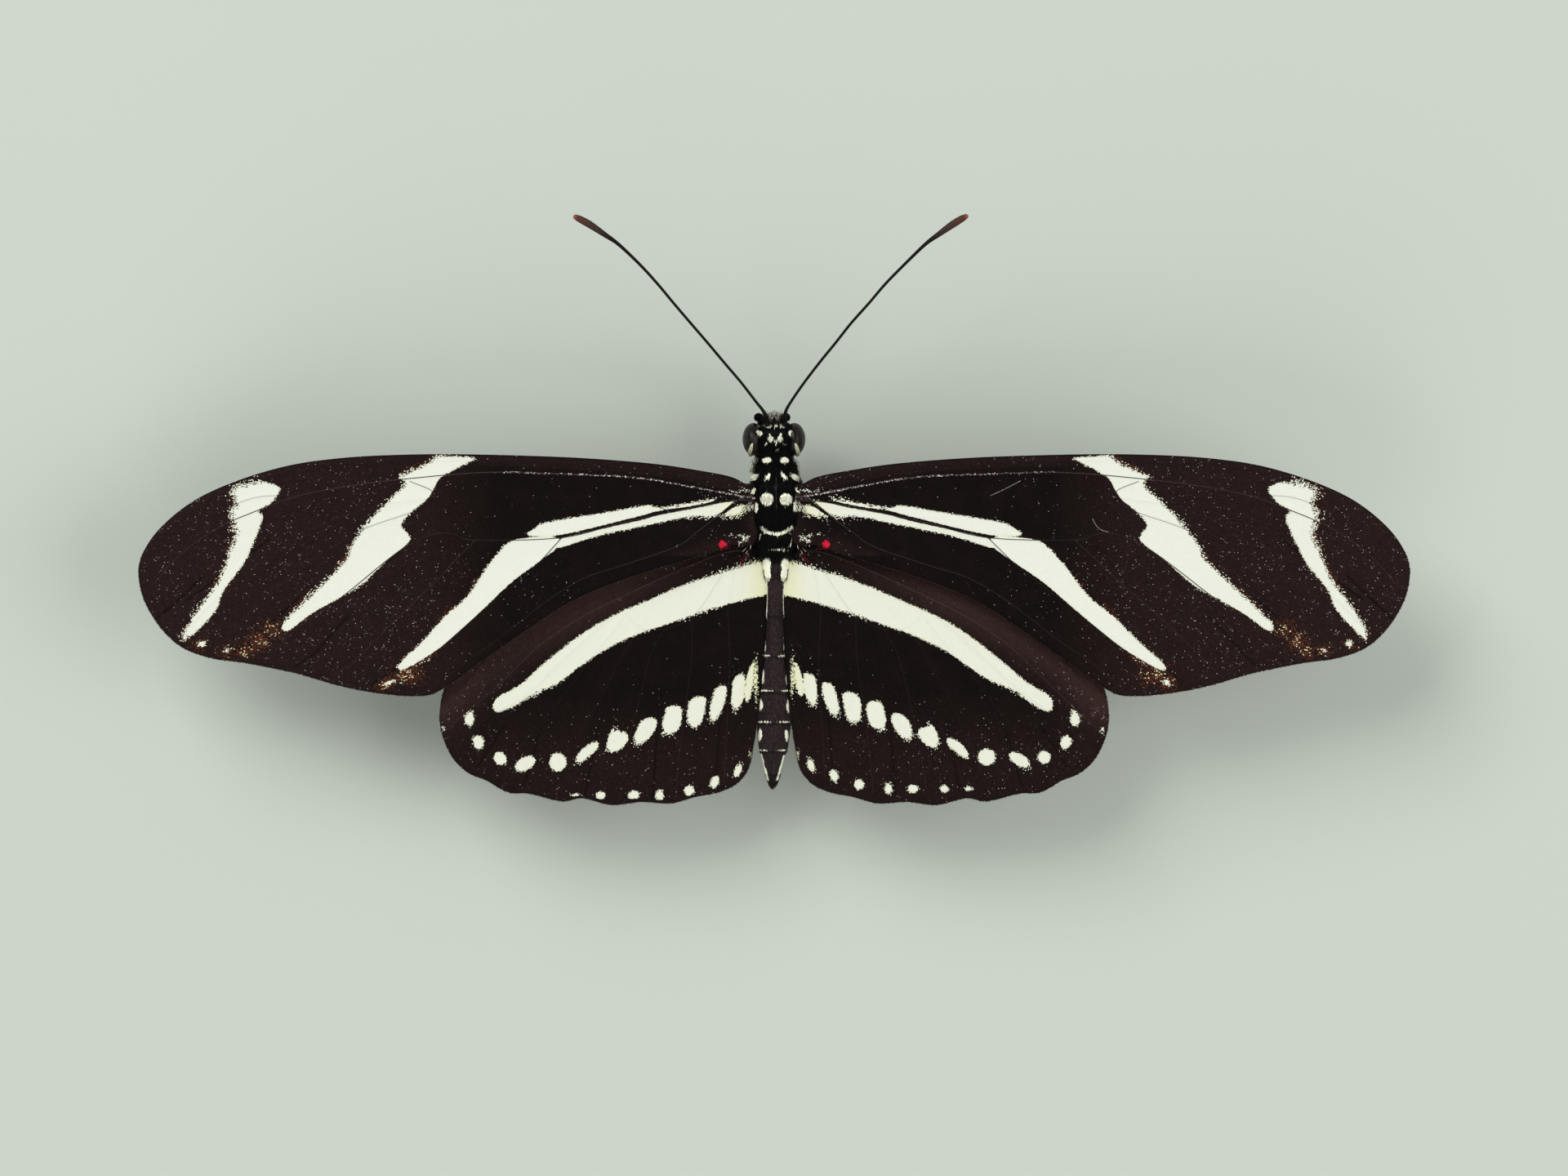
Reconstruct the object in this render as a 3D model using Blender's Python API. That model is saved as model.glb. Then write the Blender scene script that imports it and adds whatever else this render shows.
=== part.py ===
"""Zebra longwing butterfly, life size, standing on a level floor with its four wings spread flat.

Run with: blender --background --python part.py

Blender works in metres. The tables below are in millimetres, and MM turns them into metres where a
mesh is made. The origin is on the floor under the middle of the thorax, +Y points to the head, +X to
the butterfly's right wing, and +Z up.
"""

import math

import bmesh
import bpy
import numpy as np
from mathutils import Vector
from mathutils.geometry import delaunay_2d_cdt

MM = 0.001

# Driving sizes. The wings spread 84 mm from tip to tip.
JOINT_GAP = 0.3
MEMBRANE = 0.5
RIM_THICKNESS = 0.42
VEIN_HALF_WIDTH = 0.32
VEIN_RIDGE = 0.16

# The wings' middle surface: a low arch along the span, falling a little towards the tail.
WING_ROOT_HEIGHT = 8.1
WING_ARCH_RISE = 1.1
WING_ARCH_TOP = 25.0
TAILWARD_FALL = 0.035
HINDWING_DROP = 1.14

# Spacing of the points that make the wing meshes. Vein points nearer than VEIN_JOIN are one point.
RIM_STEP = 1.15
VEIN_STEP = 1.5
VEIN_JOIN = 0.2
FILL_STEP = 2.4
RIM_ROOM = 0.35
FOOT_ROOM = 0.8
ROOT_STEPS = 4

# Cross sections of the body: how square the ovals are, and the steps and sides of each form.
SECTION_POWER = 2.2
PROTHORAX_MESH = (0.3, 24)
THORAX_MESH = (0.45, 28)
HEAD_MESH = (0.3, 26)
ABDOMEN_SIDES = 24
EYE_MESH = (14, 22)
EYE_ROOM_MESH = (14, 24)
TEGULA_MESH = (8, 14)

# Steps and sides of the limbs.
SOCKET_MESH = (0.2, 10)
PALP_MESH = (0.3, 10)
ANTENNA_MESH = (0.62, 8)
TONGUE_MESH = (0.24, 8)
FORELEG_MESH = (0.35, 8)
LEG_MESH = (0.5, 8)

# Forewing outline: costa from the root to the tip, outer margin, then back along the inner margin.
FOREWING_EDGE = [
    (4.7, 2.6), (8.1, 3.1), (13.5, 3.5), (20.4, 3.7), (25.3, 3.65), (29.1, 3.4), (32.3, 2.9),
    (35.6, 1.9), (38.3, 0.65), (40.4, -1.0), (41.6, -2.6), (42.0, -4.1), (41.6, -6.0),
    (40.5, -7.8), (39.1, -9.05), (37.2, -9.75), (34.8, -10.1), (31.8, -10.7), (28.6, -11.6),
    (25.9, -12.1), (23.7, -12.25), (22.2, -11.95), (19.7, -10.2), (16.5, -8.0), (13.4, -6.0),
    (9.8, -4.5), (5.9, -3.2),
]
FOREWING_ROOT = (1.75, -1.55)

# Hindwing outline: front margin under the forewing, the round and scalloped outer margin with a
# point at each vein's end, then the inner margin beside the abdomen.
HINDWING_EDGE = [
    (6.5, -2.45), (10.8, -3.5), (14.6, -5.1), (17.8, -7.2), (20.5, -9.5), (21.8, -11.7),
    (22.15, -13.6), (21.9, -15.1), (21.2, -16.5), (20.2, -17.4), (19.0, -17.9), (17.65, -18.65),
    (16.2, -18.75), (14.1, -19.25), (12.7, -19.05), (10.8, -19.5), (8.8, -19.3), (6.9, -19.4),
    (5.3, -19.0), (3.8, -18.7), (2.7, -18.25), (2.0, -17.6), (1.62, -16.8), (1.5, -15.6),
    (1.6, -14.3), (1.66, -13.2), (1.55, -11.8), (1.35, -9.8), (1.25, -8.0), (1.25, -6.4),
    (1.42, -4.6),
]
HINDWING_ROOT = (-2.15, -3.15)

# Veins as the points they pass, from the root outwards.
FOREWING_VEINS = {
    "costa": [(3.0, 1.75), (8.1, 2.75), (13.5, 3.1), (20.4, 3.3), (26.5, 3.2), (31.0, 2.75),
              (35.3, 1.55), (38.3, 0.1), (40.4, -1.7)],
    "subcosta": [(3.0, 1.45), (6.2, 2.1), (10.0, 2.6), (14.8, 2.85), (19.5, 3.0)],
    "radius": [(3.0, 1.1), (6.2, 1.7), (9.5, 2.2), (14.0, 2.4), (19.0, 2.5), (24.5, 2.05),
               (28.4, 1.55), (31.4, 0.95), (34.2, -0.05), (37.0, -1.3), (39.6, -3.2),
               (41.0, -4.8)],
    "radius_2": [(26.3, 1.8), (29.5, 2.15), (32.4, 1.95)],
    "radius_4": [(31.4, 0.95), (34.2, 0.85), (37.2, -0.25)],
    "cell_end": [(24.5, 2.05), (25.4, 0.65), (25.1, -0.55), (24.5, -1.3), (23.0, -1.65)],
    "media_1": [(25.4, 0.65), (28.4, -0.4), (31.4, -1.75), (35.1, -4.25), (38.1, -6.85),
                (39.3, -8.3)],
    "media_2": [(25.1, -0.55), (28.7, -2.1), (31.4, -3.85), (34.4, -6.35), (37.2, -9.3)],
    "media_3": [(23.0, -1.65), (24.3, -2.3), (27.6, -4.6), (29.9, -6.1), (31.8, -7.6),
                (33.8, -9.8)],
    "cubitus": [(3.0, 0.6), (6.0, 0.05), (10.0, -0.8), (14.1, -1.8), (19.8, -1.9), (23.0, -1.65)],
    "cubitus_1": [(19.8, -1.9), (22.8, -4.85), (25.4, -7.0), (28.4, -9.9), (29.4, -10.9)],
    "cubitus_2": [(14.1, -1.8), (16.3, -3.9), (19.0, -5.95), (22.3, -8.6), (24.6, -10.5),
                  (25.8, -11.8)],
    "anal": [(2.9, 0.2), (4.5, -1.0), (6.6, -2.4), (10.1, -3.6), (12.9, -4.5), (15.7, -6.2),
             (18.4, -8.3), (21.1, -10.2), (22.5, -11.3)],
}
HINDWING_VEINS = {
    "front": [(3.6, -2.55), (6.5, -3.1), (10.8, -4.4), (15.0, -6.6), (18.6, -9.5), (21.0, -12.2)],
    "radius": [(3.3, -2.8), (6.4, -4.0), (10.1, -5.7), (13.0, -7.2), (15.5, -8.9), (17.5, -10.8),
               (20.2, -13.4), (21.6, -14.6)],
    "media_1": [(8.2, -4.95), (12.0, -8.1), (16.0, -11.7), (19.8, -14.6), (20.7, -16.2)],
    "media_2": [(9.8, -6.9), (13.6, -11.6), (17.2, -16.4), (18.3, -18.0)],
    "media_3": [(8.9, -7.7), (11.2, -11.7), (13.2, -16.0), (14.3, -18.9)],
    "cell_end": [(10.1, -5.7), (9.8, -6.9), (8.9, -7.7), (7.3, -7.9)],
    "cubitus": [(2.8, -3.2), (3.6, -4.5), (5.4, -7.0), (7.3, -7.9)],
    "cubitus_1": [(7.3, -7.9), (8.3, -9.9), (9.4, -14.6), (10.2, -19.0)],
    "cubitus_2": [(5.4, -7.0), (5.5, -10.0), (6.0, -13.4), (6.6, -18.8)],
    "anal": [(2.5, -3.6), (3.05, -6.2), (2.95, -9.4), (3.05, -12.2), (3.35, -17.7)],
}

# Body stations from front to back: y, height of the middle, half width, half height.
PROTHORAX = [(3.42, 6.85, 1.1, 1.1), (3.1, 6.85, 1.42, 1.42), (2.5, 6.85, 1.55, 1.65),
             (2.02, 6.8, 1.68, 1.84)]
THORAX = [(1.72, 6.75, 1.72, 1.95), (1.3, 6.72, 1.9, 2.12), (0.7, 6.7, 2.02, 2.26),
          (-0.2, 6.66, 2.08, 2.32), (-1.0, 6.6, 2.02, 2.22), (-1.5, 6.55, 1.92, 2.02),
          (-1.75, 6.5, 1.82, 1.86), (-2.3, 6.5, 1.72, 1.8), (-2.9, 6.48, 1.5, 1.6),
          (-3.35, 6.45, 1.15, 1.3)]
ABDOMEN = [(-3.65, 6.42, 1.05, 1.2), (-4.3, 6.4, 0.98, 1.22), (-5.4, 6.34, 0.77, 1.08),
           (-7.3, 6.25, 0.77, 1.08), (-9.5, 6.12, 0.86, 1.12), (-11.0, 6.02, 1.02, 1.18),
           (-12.2, 5.94, 1.17, 1.24), (-13.4, 5.85, 1.27, 1.28), (-14.6, 5.76, 1.22, 1.2),
           (-15.9, 5.65, 1.02, 1.02), (-17.2, 5.55, 0.67, 0.7), (-18.0, 5.48, 0.42, 0.44),
           (-18.35, 5.46, 0.2, 0.22)]
ABDOMEN_RING_ENDS = [-6.95, -9.65, -12.0, -14.1, -15.95, -17.5]
RING_SHARES = (0.0, 0.3, 0.65, 1.0)
RING_STEP_DEPTH = 0.07
RING_STEP_RUN = 0.06
HEAD = [(3.72, 6.9, 0.72, 0.8), (3.95, 6.92, 1.0, 1.1), (4.4, 6.95, 1.24, 1.34),
        (4.8, 6.97, 1.3, 1.4), (5.25, 6.97, 1.2, 1.3), (5.65, 6.93, 0.95, 1.08),
        (5.9, 6.88, 0.62, 0.76), (6.0, 6.85, 0.3, 0.4)]
EYE_CENTRE = (1.42, 4.72, 7.0)
EYE_RADII = (0.7, 1.05, 1.28)
TEGULA_CENTRE = (1.26, 1.15, 8.3)
TEGULA_RADII = (0.42, 0.6, 0.34)

# Antennae: points of the middle line of each and its radius there.
ANTENNAE = {
    "right": [(0.68, 6.08, 8.2, 0.3), (0.74, 6.6, 8.45, 0.26), (1.12, 7.2, 8.75, 0.25),
              (2.0, 8.46, 9.2, 0.25), (3.07, 9.84, 9.65, 0.25), (4.04, 11.02, 10.0, 0.25),
              (5.05, 12.29, 10.35, 0.25), (6.2, 13.57, 10.7, 0.25), (7.3, 14.85, 11.0, 0.25),
              (8.55, 16.12, 11.3, 0.25), (10.0, 17.5, 11.6, 0.28), (10.9, 18.13, 11.75, 0.36),
              (11.75, 18.75, 11.85, 0.4), (12.45, 19.17, 11.9, 0.27)],
    "left": [(-0.68, 6.08, 8.2, 0.3), (-0.8, 6.6, 8.45, 0.26), (-1.22, 7.2, 8.75, 0.25),
             (-2.2, 8.46, 9.2, 0.25), (-3.3, 9.74, 9.65, 0.25), (-4.38, 11.02, 10.0, 0.25),
             (-5.48, 12.29, 10.35, 0.25), (-6.58, 13.57, 10.7, 0.25), (-7.65, 14.85, 11.0, 0.25),
             (-8.82, 16.12, 11.3, 0.25), (-10.3, 17.5, 11.6, 0.28), (-11.25, 18.13, 11.75, 0.36),
             (-12.15, 18.75, 11.85, 0.4), (-12.95, 19.2, 11.9, 0.27)],
}
ANTENNA_SOCKET = [(0.5, 5.1, 7.55, 0.3), (0.6, 5.55, 7.85, 0.3), (0.65, 5.82, 8.02, 0.3)]

# Limbs grow from a body form: the y of the root, its angle under the side and its radius there.
# The rest of each limb is its middle line and radius, right side.
PALP_ROOT = (5.15, 66, 0.27)
PALP = [(0.75, 5.72, 5.02, 0.29), (0.76, 6.22, 5.3, 0.33), (0.88, 6.5, 5.95, 0.33),
        (0.98, 6.58, 6.75, 0.28), (1.03, 6.5, 7.3, 0.2), (1.05, 6.42, 7.62, 0.12)]
FORELEG_ROOT = (2.6, 62, 0.28)
FORELEG = [(1.0, 3.2, 4.42, 0.31), (1.12, 3.9, 4.5, 0.29), (1.16, 4.5, 4.85, 0.25),
           (1.1, 4.75, 5.1, 0.15)]
MID_LEG_ROOT = (0.3, 62, 0.5)
MID_LEG = [(1.95, 0.45, 3.75, 0.4), (3.4, 0.8, 4.75, 0.36), (4.7, 1.05, 5.5, 0.3),
           (5.15, 1.2, 5.4, 0.28), (6.0, 1.4, 4.15, 0.26), (7.1, 1.65, 2.3, 0.25),
           (7.85, 1.85, 0.85, 0.25), (8.3, 1.97, 0.28, 0.26), (9.1, 2.15, 0.2, 0.25),
           (11.2, 2.6, 0.2, 0.22)]
HIND_LEG_ROOT = (-2.1, 62, 0.46)
HIND_LEG = [(1.6, -3.0, 4.05, 0.4), (2.7, -4.7, 4.75, 0.36), (3.4, -5.95, 5.05, 0.3),
            (3.72, -6.4, 4.9, 0.28), (4.5, -7.7, 3.6, 0.26), (5.4, -9.3, 1.8, 0.25),
            (5.95, -10.3, 0.72, 0.26), (6.2, -10.75, 0.27, 0.26), (6.6, -11.5, 0.2, 0.25),
            (7.6, -13.4, 0.2, 0.22)]
ROOT_NECK = 0.35
FLOOR = 0.0

# Coiled tongue, wound in the middle plane below the head, with its root under the mouth.
TONGUE_CENTRE = (5.6, 3.92)
TONGUE_OUTER = 1.05
TONGUE_INNER = 0.3
TONGUE_TURNS = 1.35
TONGUE_START = 98.0
TONGUE_RADIUS = 0.22
TONGUE_TAPER = 0.3
TONGUE_ROOT_Y = 5.0
TONGUE_STEPS = 26

SMOOTH_ANGLE = 40
WING_SMOOTH_ANGLE = 30

# Colours are linear.
FINISHES = {
    "wing scales": ((0.012, 0.009, 0.008), 0.75),
    "body scales": ((0.008, 0.007, 0.007), 0.7),
    "eye": ((0.02, 0.013, 0.012), 0.2),
    "feeler": ((0.01, 0.009, 0.008), 0.5),
    "leg": ((0.02, 0.015, 0.012), 0.55),
    "tongue": ((0.03, 0.018, 0.012), 0.35),
}
SIDES = {"right": 1, "left": -1}


def clear_scene():
    for obj in list(bpy.data.objects):
        bpy.data.objects.remove(obj, do_unlink=True)


def finish(name):
    """The material of that finish, made once."""
    found = bpy.data.materials.get(name)
    if found:
        return found
    colour, roughness = FINISHES[name]
    made = bpy.data.materials.new(name)
    made.use_nodes = True
    shader = made.node_tree.nodes["Principled BSDF"]
    shader.inputs["Base Color"].default_value = (*colour, 1)
    shader.inputs["Roughness"].default_value = roughness
    shader.inputs["Metallic"].default_value = 0.0
    return made


def smooth_curve(points, per_span=12):
    """Catmull-Rom curve through the points, sampled densely."""
    p = np.array(points, float)
    guides = np.vstack([2 * p[0] - p[1], p, 2 * p[-1] - p[-2]])
    t = np.linspace(0, 1, per_span, endpoint=False)[:, None]
    spans = [
        0.5 * (2 * b + (c - a) * t + (2 * a - 5 * b + 4 * c - d) * t**2
               + (3 * b - a - 3 * c + d) * t**3)
        for a, b, c, d in zip(guides, guides[1:], guides[2:], guides[3:])
    ]
    return np.vstack(spans + [p[-1:]])


def even_steps(line, step):
    """The line sampled again at nearly equal steps, both ends kept."""
    lengths = np.linalg.norm(np.diff(line, axis=0), axis=1)
    along = np.concatenate([[0], np.cumsum(lengths)])
    count = max(2, round(along[-1] / step) + 1)
    wanted = np.linspace(0, along[-1], count)
    return np.stack([np.interp(wanted, along, line[:, i]) for i in range(line.shape[1])], axis=1)


def distance_to(line, points):
    """Distance from each point to a polyline."""
    a, b = line[:-1], line[1:]
    run = b - a
    rel = points[:, None, :] - a[None]
    t = np.clip((rel * run).sum(2) / np.maximum((run * run).sum(1), 1e-12), 0, 1)
    return np.linalg.norm(rel - t[..., None] * run[None], axis=2).min(1)


def inside(ring, points):
    """True for each point inside the closed ring."""
    x, y = points[:, :1], points[:, 1:]
    (x0, y0), (x1, y1) = ring.T, np.roll(ring, -1, axis=0).T
    crosses = (y0 > y) != (y1 > y)
    rise = np.where(y1 == y0, 1e-9, y1 - y0)
    return (crosses & (x < (x1 - x0) * (y - y0) / rise + x0)).sum(1) % 2 == 1


def add_object(name, vertices, faces, finish_name, smooth_angle=SMOOTH_ANGLE):
    """A named object from points in millimetres, with its faces turned outwards."""
    mesh = bpy.data.meshes.new(name)
    mesh.from_pydata([Vector(v) * MM for v in vertices], [], faces)
    work = bmesh.new()
    work.from_mesh(mesh)
    bmesh.ops.recalc_face_normals(work, faces=work.faces)
    work.to_mesh(mesh)
    work.free()
    mesh.materials.append(finish(finish_name))
    mesh.shade_smooth()
    mesh.set_sharp_from_angle(angle=math.radians(smooth_angle))
    obj = bpy.data.objects.new(name, mesh)
    bpy.context.scene.collection.objects.link(obj)
    return obj


def section_at(stations, y):
    """Height of the middle, half width and half height of a body form at y."""
    rows = smooth_curve(stations)
    order = np.argsort(rows[:, 0])
    return [float(np.interp(y, rows[order, 0], rows[order, i])) for i in (1, 2, 3)]


def side_of(stations, y, z):
    """Half width of a body form at y and height z."""
    middle, half_width, half_height = section_at(stations, y)
    share = min(1.0, abs(z - middle) / half_height)
    return half_width * (1 - share**SECTION_POWER) ** (1 / SECTION_POWER)


def oval_point(y, middle, half_width, half_height, angle):
    """A point of a body form's cross section, a rounded oval."""
    c, s = math.cos(angle), math.sin(angle)
    x = math.copysign(abs(c) ** (2 / SECTION_POWER), c) * half_width
    z = math.copysign(abs(s) ** (2 / SECTION_POWER), s) * half_height
    return Vector((x, y, middle + z))


def ring_points(y, middle, half_width, half_height, sides):
    return [oval_point(y, middle, half_width, half_height, 2 * math.pi * i / sides)
            for i in range(sides)]


def limb_root(stations, root):
    """The first two points of a limb, square to the body form it grows from and a gap away."""
    y, under, radius = root
    angle = -math.radians(under)
    step = 0.02
    here = oval_point(y, *section_at(stations, y), angle)
    round_it = oval_point(y, *section_at(stations, y), angle + step) - here
    along = oval_point(y + step, *section_at(stations, y + step), angle) - here
    outward = round_it.cross(along).normalized()
    if outward.z > 0:
        outward = -outward
    ends = [here + outward * (JOINT_GAP + reach) for reach in (0.0, ROOT_NECK)]
    return [(*end, radius) for end in ends]


def loft(name, rings, finish_name):
    """A closed form through rings of points, with flat ends."""
    sides = len(rings[0])
    vertices = [p for ring in rings for p in ring]
    faces = []
    for r in range(len(rings) - 1):
        for i in range(sides):
            j = (i + 1) % sides
            faces.append((r * sides + i, r * sides + j, (r + 1) * sides + j, (r + 1) * sides + i))
    last = (len(rings) - 1) * sides
    faces.append(tuple(range(sides)))
    faces.append(tuple(last + i for i in range(sides)))
    return add_object(name, vertices, faces, finish_name)


def body_form(name, stations, step, sides):
    rows = even_steps(smooth_curve(stations), step)
    return loft(name, [ring_points(*row, sides) for row in rows], "body scales")


def tube(name, route, step_and_sides, finish_name, floor=None):
    """A round limb along a route of x, y, z and radius. Points under the floor are pressed flat."""
    step, sides = step_and_sides
    rows = even_steps(smooth_curve(route), step)
    centres = [Vector(row[:3]) for row in rows]
    heading = centres[-1] - centres[0]
    sideways = Vector((heading.y, -heading.x, 0)).normalized()
    rings = []
    for k, centre in enumerate(centres):
        ahead = (centres[min(k + 1, len(centres) - 1)] - centres[max(k - 1, 0)]).normalized()
        across = (sideways - ahead * sideways.dot(ahead)).normalized()
        upward = across.cross(ahead)
        ring = []
        for i in range(sides):
            a = 2 * math.pi * (i + 0.5) / sides
            point = centre + (across * math.cos(a) + upward * math.sin(a)) * rows[k][3]
            if floor is not None:
                point.z = max(point.z, floor)
            ring.append(point)
        rings.append(ring)
    return loft(name, rings, finish_name)


def ellipsoid(name, centre, radii, rings_and_sides, finish_name):
    rings, sides = rings_and_sides
    vertices = [(centre[0], centre[1], centre[2] + radii[2])]
    for r in range(1, rings):
        polar = math.pi * r / rings
        for i in range(sides):
            a = 2 * math.pi * i / sides
            vertices.append((
                centre[0] + radii[0] * math.sin(polar) * math.cos(a),
                centre[1] + radii[1] * math.sin(polar) * math.sin(a),
                centre[2] + radii[2] * math.cos(polar),
            ))
    vertices.append((centre[0], centre[1], centre[2] - radii[2]))
    faces = []
    for i in range(sides):
        j = (i + 1) % sides
        faces.append((0, 1 + i, 1 + j))
        for r in range(rings - 2):
            row = 1 + r * sides
            faces.append((row + i, row + sides + i, row + sides + j, row + j))
        row = 1 + (rings - 2) * sides
        faces.append((row + i, len(vertices) - 1, row + j))
    return add_object(name, vertices, faces, finish_name)


def combine(base, others, operation):
    """Joins the other solids to the base, or cuts them from it, and removes them."""
    group = bpy.data.collections.new("pieces of " + base.name)
    bpy.context.scene.collection.children.link(group)
    for other in others:
        bpy.context.scene.collection.objects.unlink(other)
        group.objects.link(other)
        other.hide_render = True
        other.display_type = "WIRE"
    modifier = base.modifiers.new(operation.lower(), "BOOLEAN")
    modifier.operation = operation
    modifier.operand_type = "COLLECTION"
    modifier.collection = group
    modifier.solver = "EXACT"
    graph = bpy.context.evaluated_depsgraph_get()
    made = bpy.data.meshes.new_from_object(base.evaluated_get(graph))
    base.modifiers.clear()
    base.data = made
    made.shade_smooth()
    made.set_sharp_from_angle(angle=math.radians(SMOOTH_ANGLE))
    for other in others:
        bpy.data.objects.remove(other, do_unlink=True)
    bpy.data.collections.remove(group)
    return base


def mirrored(points):
    return [(-p[0], *p[1:]) for p in points]


def on_side(points, side):
    return points if side == "right" else mirrored(points)


def wing_height(x, y):
    """Height of the forewing's middle surface."""
    arch = 1 - ((x - WING_ARCH_TOP) / WING_ARCH_TOP) ** 2
    return WING_ROOT_HEIGHT + WING_ARCH_RISE * arch + TAILWARD_FALL * y


def root_edge(stations, span_of_root, drop):
    """The wing's root line, one joint gap out from the thorax side, from front to back."""
    front, back = span_of_root
    points = []
    for i in range(ROOT_STEPS + 1):
        y = front + (back - front) * i / ROOT_STEPS
        low = wing_height(stations[0][2], y) - drop - MEMBRANE / 2 - VEIN_RIDGE
        side = side_of(stations, y, low)
        lean = (side - side_of(stations, y, low + MEMBRANE)) / MEMBRANE
        points.append((side + JOINT_GAP * math.hypot(1, lean), y))
    return points


def wing_points(margin, root, veins):
    """The flat layout of a wing: rim, vein lines with their foot lines, and fill points."""
    free = even_steps(smooth_curve([root[0]] + margin + [root[-1]]), RIM_STEP)
    rim = np.vstack([free, root[-2:0:-1]])
    lines = [even_steps(smooth_curve(v), VEIN_STEP) for v in veins.values()]
    points = [tuple(p) for p in rim]
    edges = [(i, (i + 1) % len(rim)) for i in range(len(rim))]
    closed_rim = np.vstack([rim, rim[:1]])
    for line in lines:
        kept = [p for p in line if distance_to(closed_rim, p[None])[0] > RIM_ROOM]
        known = []
        for p in kept:
            near = [i for i, q in enumerate(points[len(rim):], len(rim)) if math.dist(p, q) < VEIN_JOIN]
            if near:
                known.append(near[0])
            else:
                known.append(len(points))
                points.append(tuple(p))
        edges += list(zip(known, known[1:]))
    for index, line in enumerate(lines):
        others = [o for i, o in enumerate(lines) if i != index]
        for here, ahead in zip(line, line[1:]):
            middle = (here + ahead) / 2
            along = (ahead - here) / np.linalg.norm(ahead - here)
            for turn in (1, -1):
                foot = middle + turn * VEIN_HALF_WIDTH * np.array([-along[1], along[0]])
                clear = min(distance_to(o, foot[None])[0] for o in others) > FOOT_ROOM * VEIN_HALF_WIDTH
                at_rim = distance_to(closed_rim, foot[None])[0]
                if clear and at_rim > RIM_ROOM and inside(rim, foot[None])[0]:
                    points.append(tuple(foot))
    low, high = rim.min(0), rim.max(0)
    rows = np.arange(low[1], high[1], FILL_STEP * math.sqrt(0.75))
    fill = [
        (x + FILL_STEP / 2 * (r % 2), y)
        for r, y in enumerate(rows)
        for x in np.arange(low[0], high[0], FILL_STEP)
    ]
    fill = np.array(fill)
    fill = fill[inside(rim, fill)]
    room = np.min([distance_to(line, fill) for line in lines + [closed_rim]], axis=0)
    points += [tuple(p) for p in fill[room > FILL_STEP / 3]]
    return rim, lines, points, edges


def wing(name, side, margin, root, veins, drop):
    """A thin membrane with its veins raised as ridges on both faces.

    Both faces use the same triangles, so the thin sheet never crosses itself where it curves.
    """
    rim, lines, points, edges = wing_points(margin, root, veins)
    flat, _, triangles, _, _, _ = delaunay_2d_cdt(
        [Vector(p) for p in points], edges, [list(range(len(rim)))], 1, 1e-4
    )
    flat = np.array([tuple(p) for p in flat])
    near = np.min([distance_to(line, flat) for line in lines], axis=0)
    ridge = VEIN_RIDGE * np.clip(1 - near / VEIN_HALF_WIDTH, 0, 1)
    at_rim = distance_to(np.vstack([rim, rim[:1]]), flat) < 0.01
    half = np.where(at_rim, RIM_THICKNESS / 2, MEMBRANE / 2 + ridge)
    middle = wing_height(flat[:, 0], flat[:, 1]) - drop
    turn = SIDES[side]
    top = [(turn * x, y, z + h) for (x, y), z, h in zip(flat, middle, half)]
    bottom = [(turn * x, y, z - h) for (x, y), z, h in zip(flat, middle, half)]
    count = len(flat)
    faces = [tuple(t) for t in triangles]
    faces += [tuple(count + i for i in reversed(t)) for t in triangles]
    borders = {}
    for t in triangles:
        for a, b in zip(t, list(t[1:]) + [t[0]]):
            borders[(a, b)] = borders.get((a, b), 0) + 1
    for a, b in borders:
        if (b, a) not in borders:
            faces.append((b, a, count + a))
            faces.append((b, count + a, count + b))
    return add_object(name, top + bottom, faces, "wing scales", WING_SMOOTH_ANGLE)


def make_wings():
    fore = root_edge(THORAX, FOREWING_ROOT, 0)
    hind = root_edge(THORAX, HINDWING_ROOT, HINDWING_DROP)
    for side in SIDES:
        wing(f"forewing_{side}", side, FOREWING_EDGE, fore, FOREWING_VEINS, 0)
        wing(f"hindwing_{side}", side, HINDWING_EDGE, hind, HINDWING_VEINS, HINDWING_DROP)


def make_thorax():
    body_form("prothorax", PROTHORAX, *PROTHORAX_MESH)
    thorax = body_form("thorax", THORAX, *THORAX_MESH)
    plates = [
        ellipsoid("tegula " + side, on_side([TEGULA_CENTRE], side)[0], TEGULA_RADII, TEGULA_MESH,
                  "body scales")
        for side in SIDES
    ]
    combine(thorax, plates, "UNION")


def make_abdomen():
    """Seven rings, each a little wider at its rear edge than the start of the next."""
    ends = [ABDOMEN[0][0], *ABDOMEN_RING_ENDS, ABDOMEN[-1][0]]
    rings = []
    for number, (front, back) in enumerate(zip(ends, ends[1:])):
        last = number == len(ends) - 2
        for share in RING_SHARES:
            y = front + (back - front) * share
            middle, half_width, half_height = section_at(ABDOMEN, y)
            flare = RING_STEP_DEPTH * ((0.0 if last else share**2) - 0.5)
            if share == 0.0 and number:
                y -= RING_STEP_RUN
            rings.append(
                ring_points(y, middle, half_width + flare, half_height + flare, ABDOMEN_SIDES)
            )
    loft("abdomen", rings, "body scales")


def make_head():
    head = body_form("head", HEAD, *HEAD_MESH)
    sockets = [
        tube("antenna socket " + side, on_side(ANTENNA_SOCKET, side), SOCKET_MESH, "body scales")
        for side in SIDES
    ]
    combine(head, sockets, "UNION")
    room = [radius + JOINT_GAP for radius in EYE_RADII]
    hollows = [
        ellipsoid("eye room " + side, on_side([EYE_CENTRE], side)[0], room, EYE_ROOM_MESH,
                  "body scales")
        for side in SIDES
    ]
    combine(head, hollows, "DIFFERENCE")
    for side in SIDES:
        ellipsoid(f"eye_{side}", on_side([EYE_CENTRE], side)[0], EYE_RADII, EYE_MESH, "eye")
        palp = limb_root(HEAD, PALP_ROOT) + PALP
        tube(f"palp_{side}", on_side(palp, side), PALP_MESH, "body scales")


def make_antennae():
    for side, route in ANTENNAE.items():
        tube(f"antenna_{side}", route, ANTENNA_MESH, "feeler")


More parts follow.
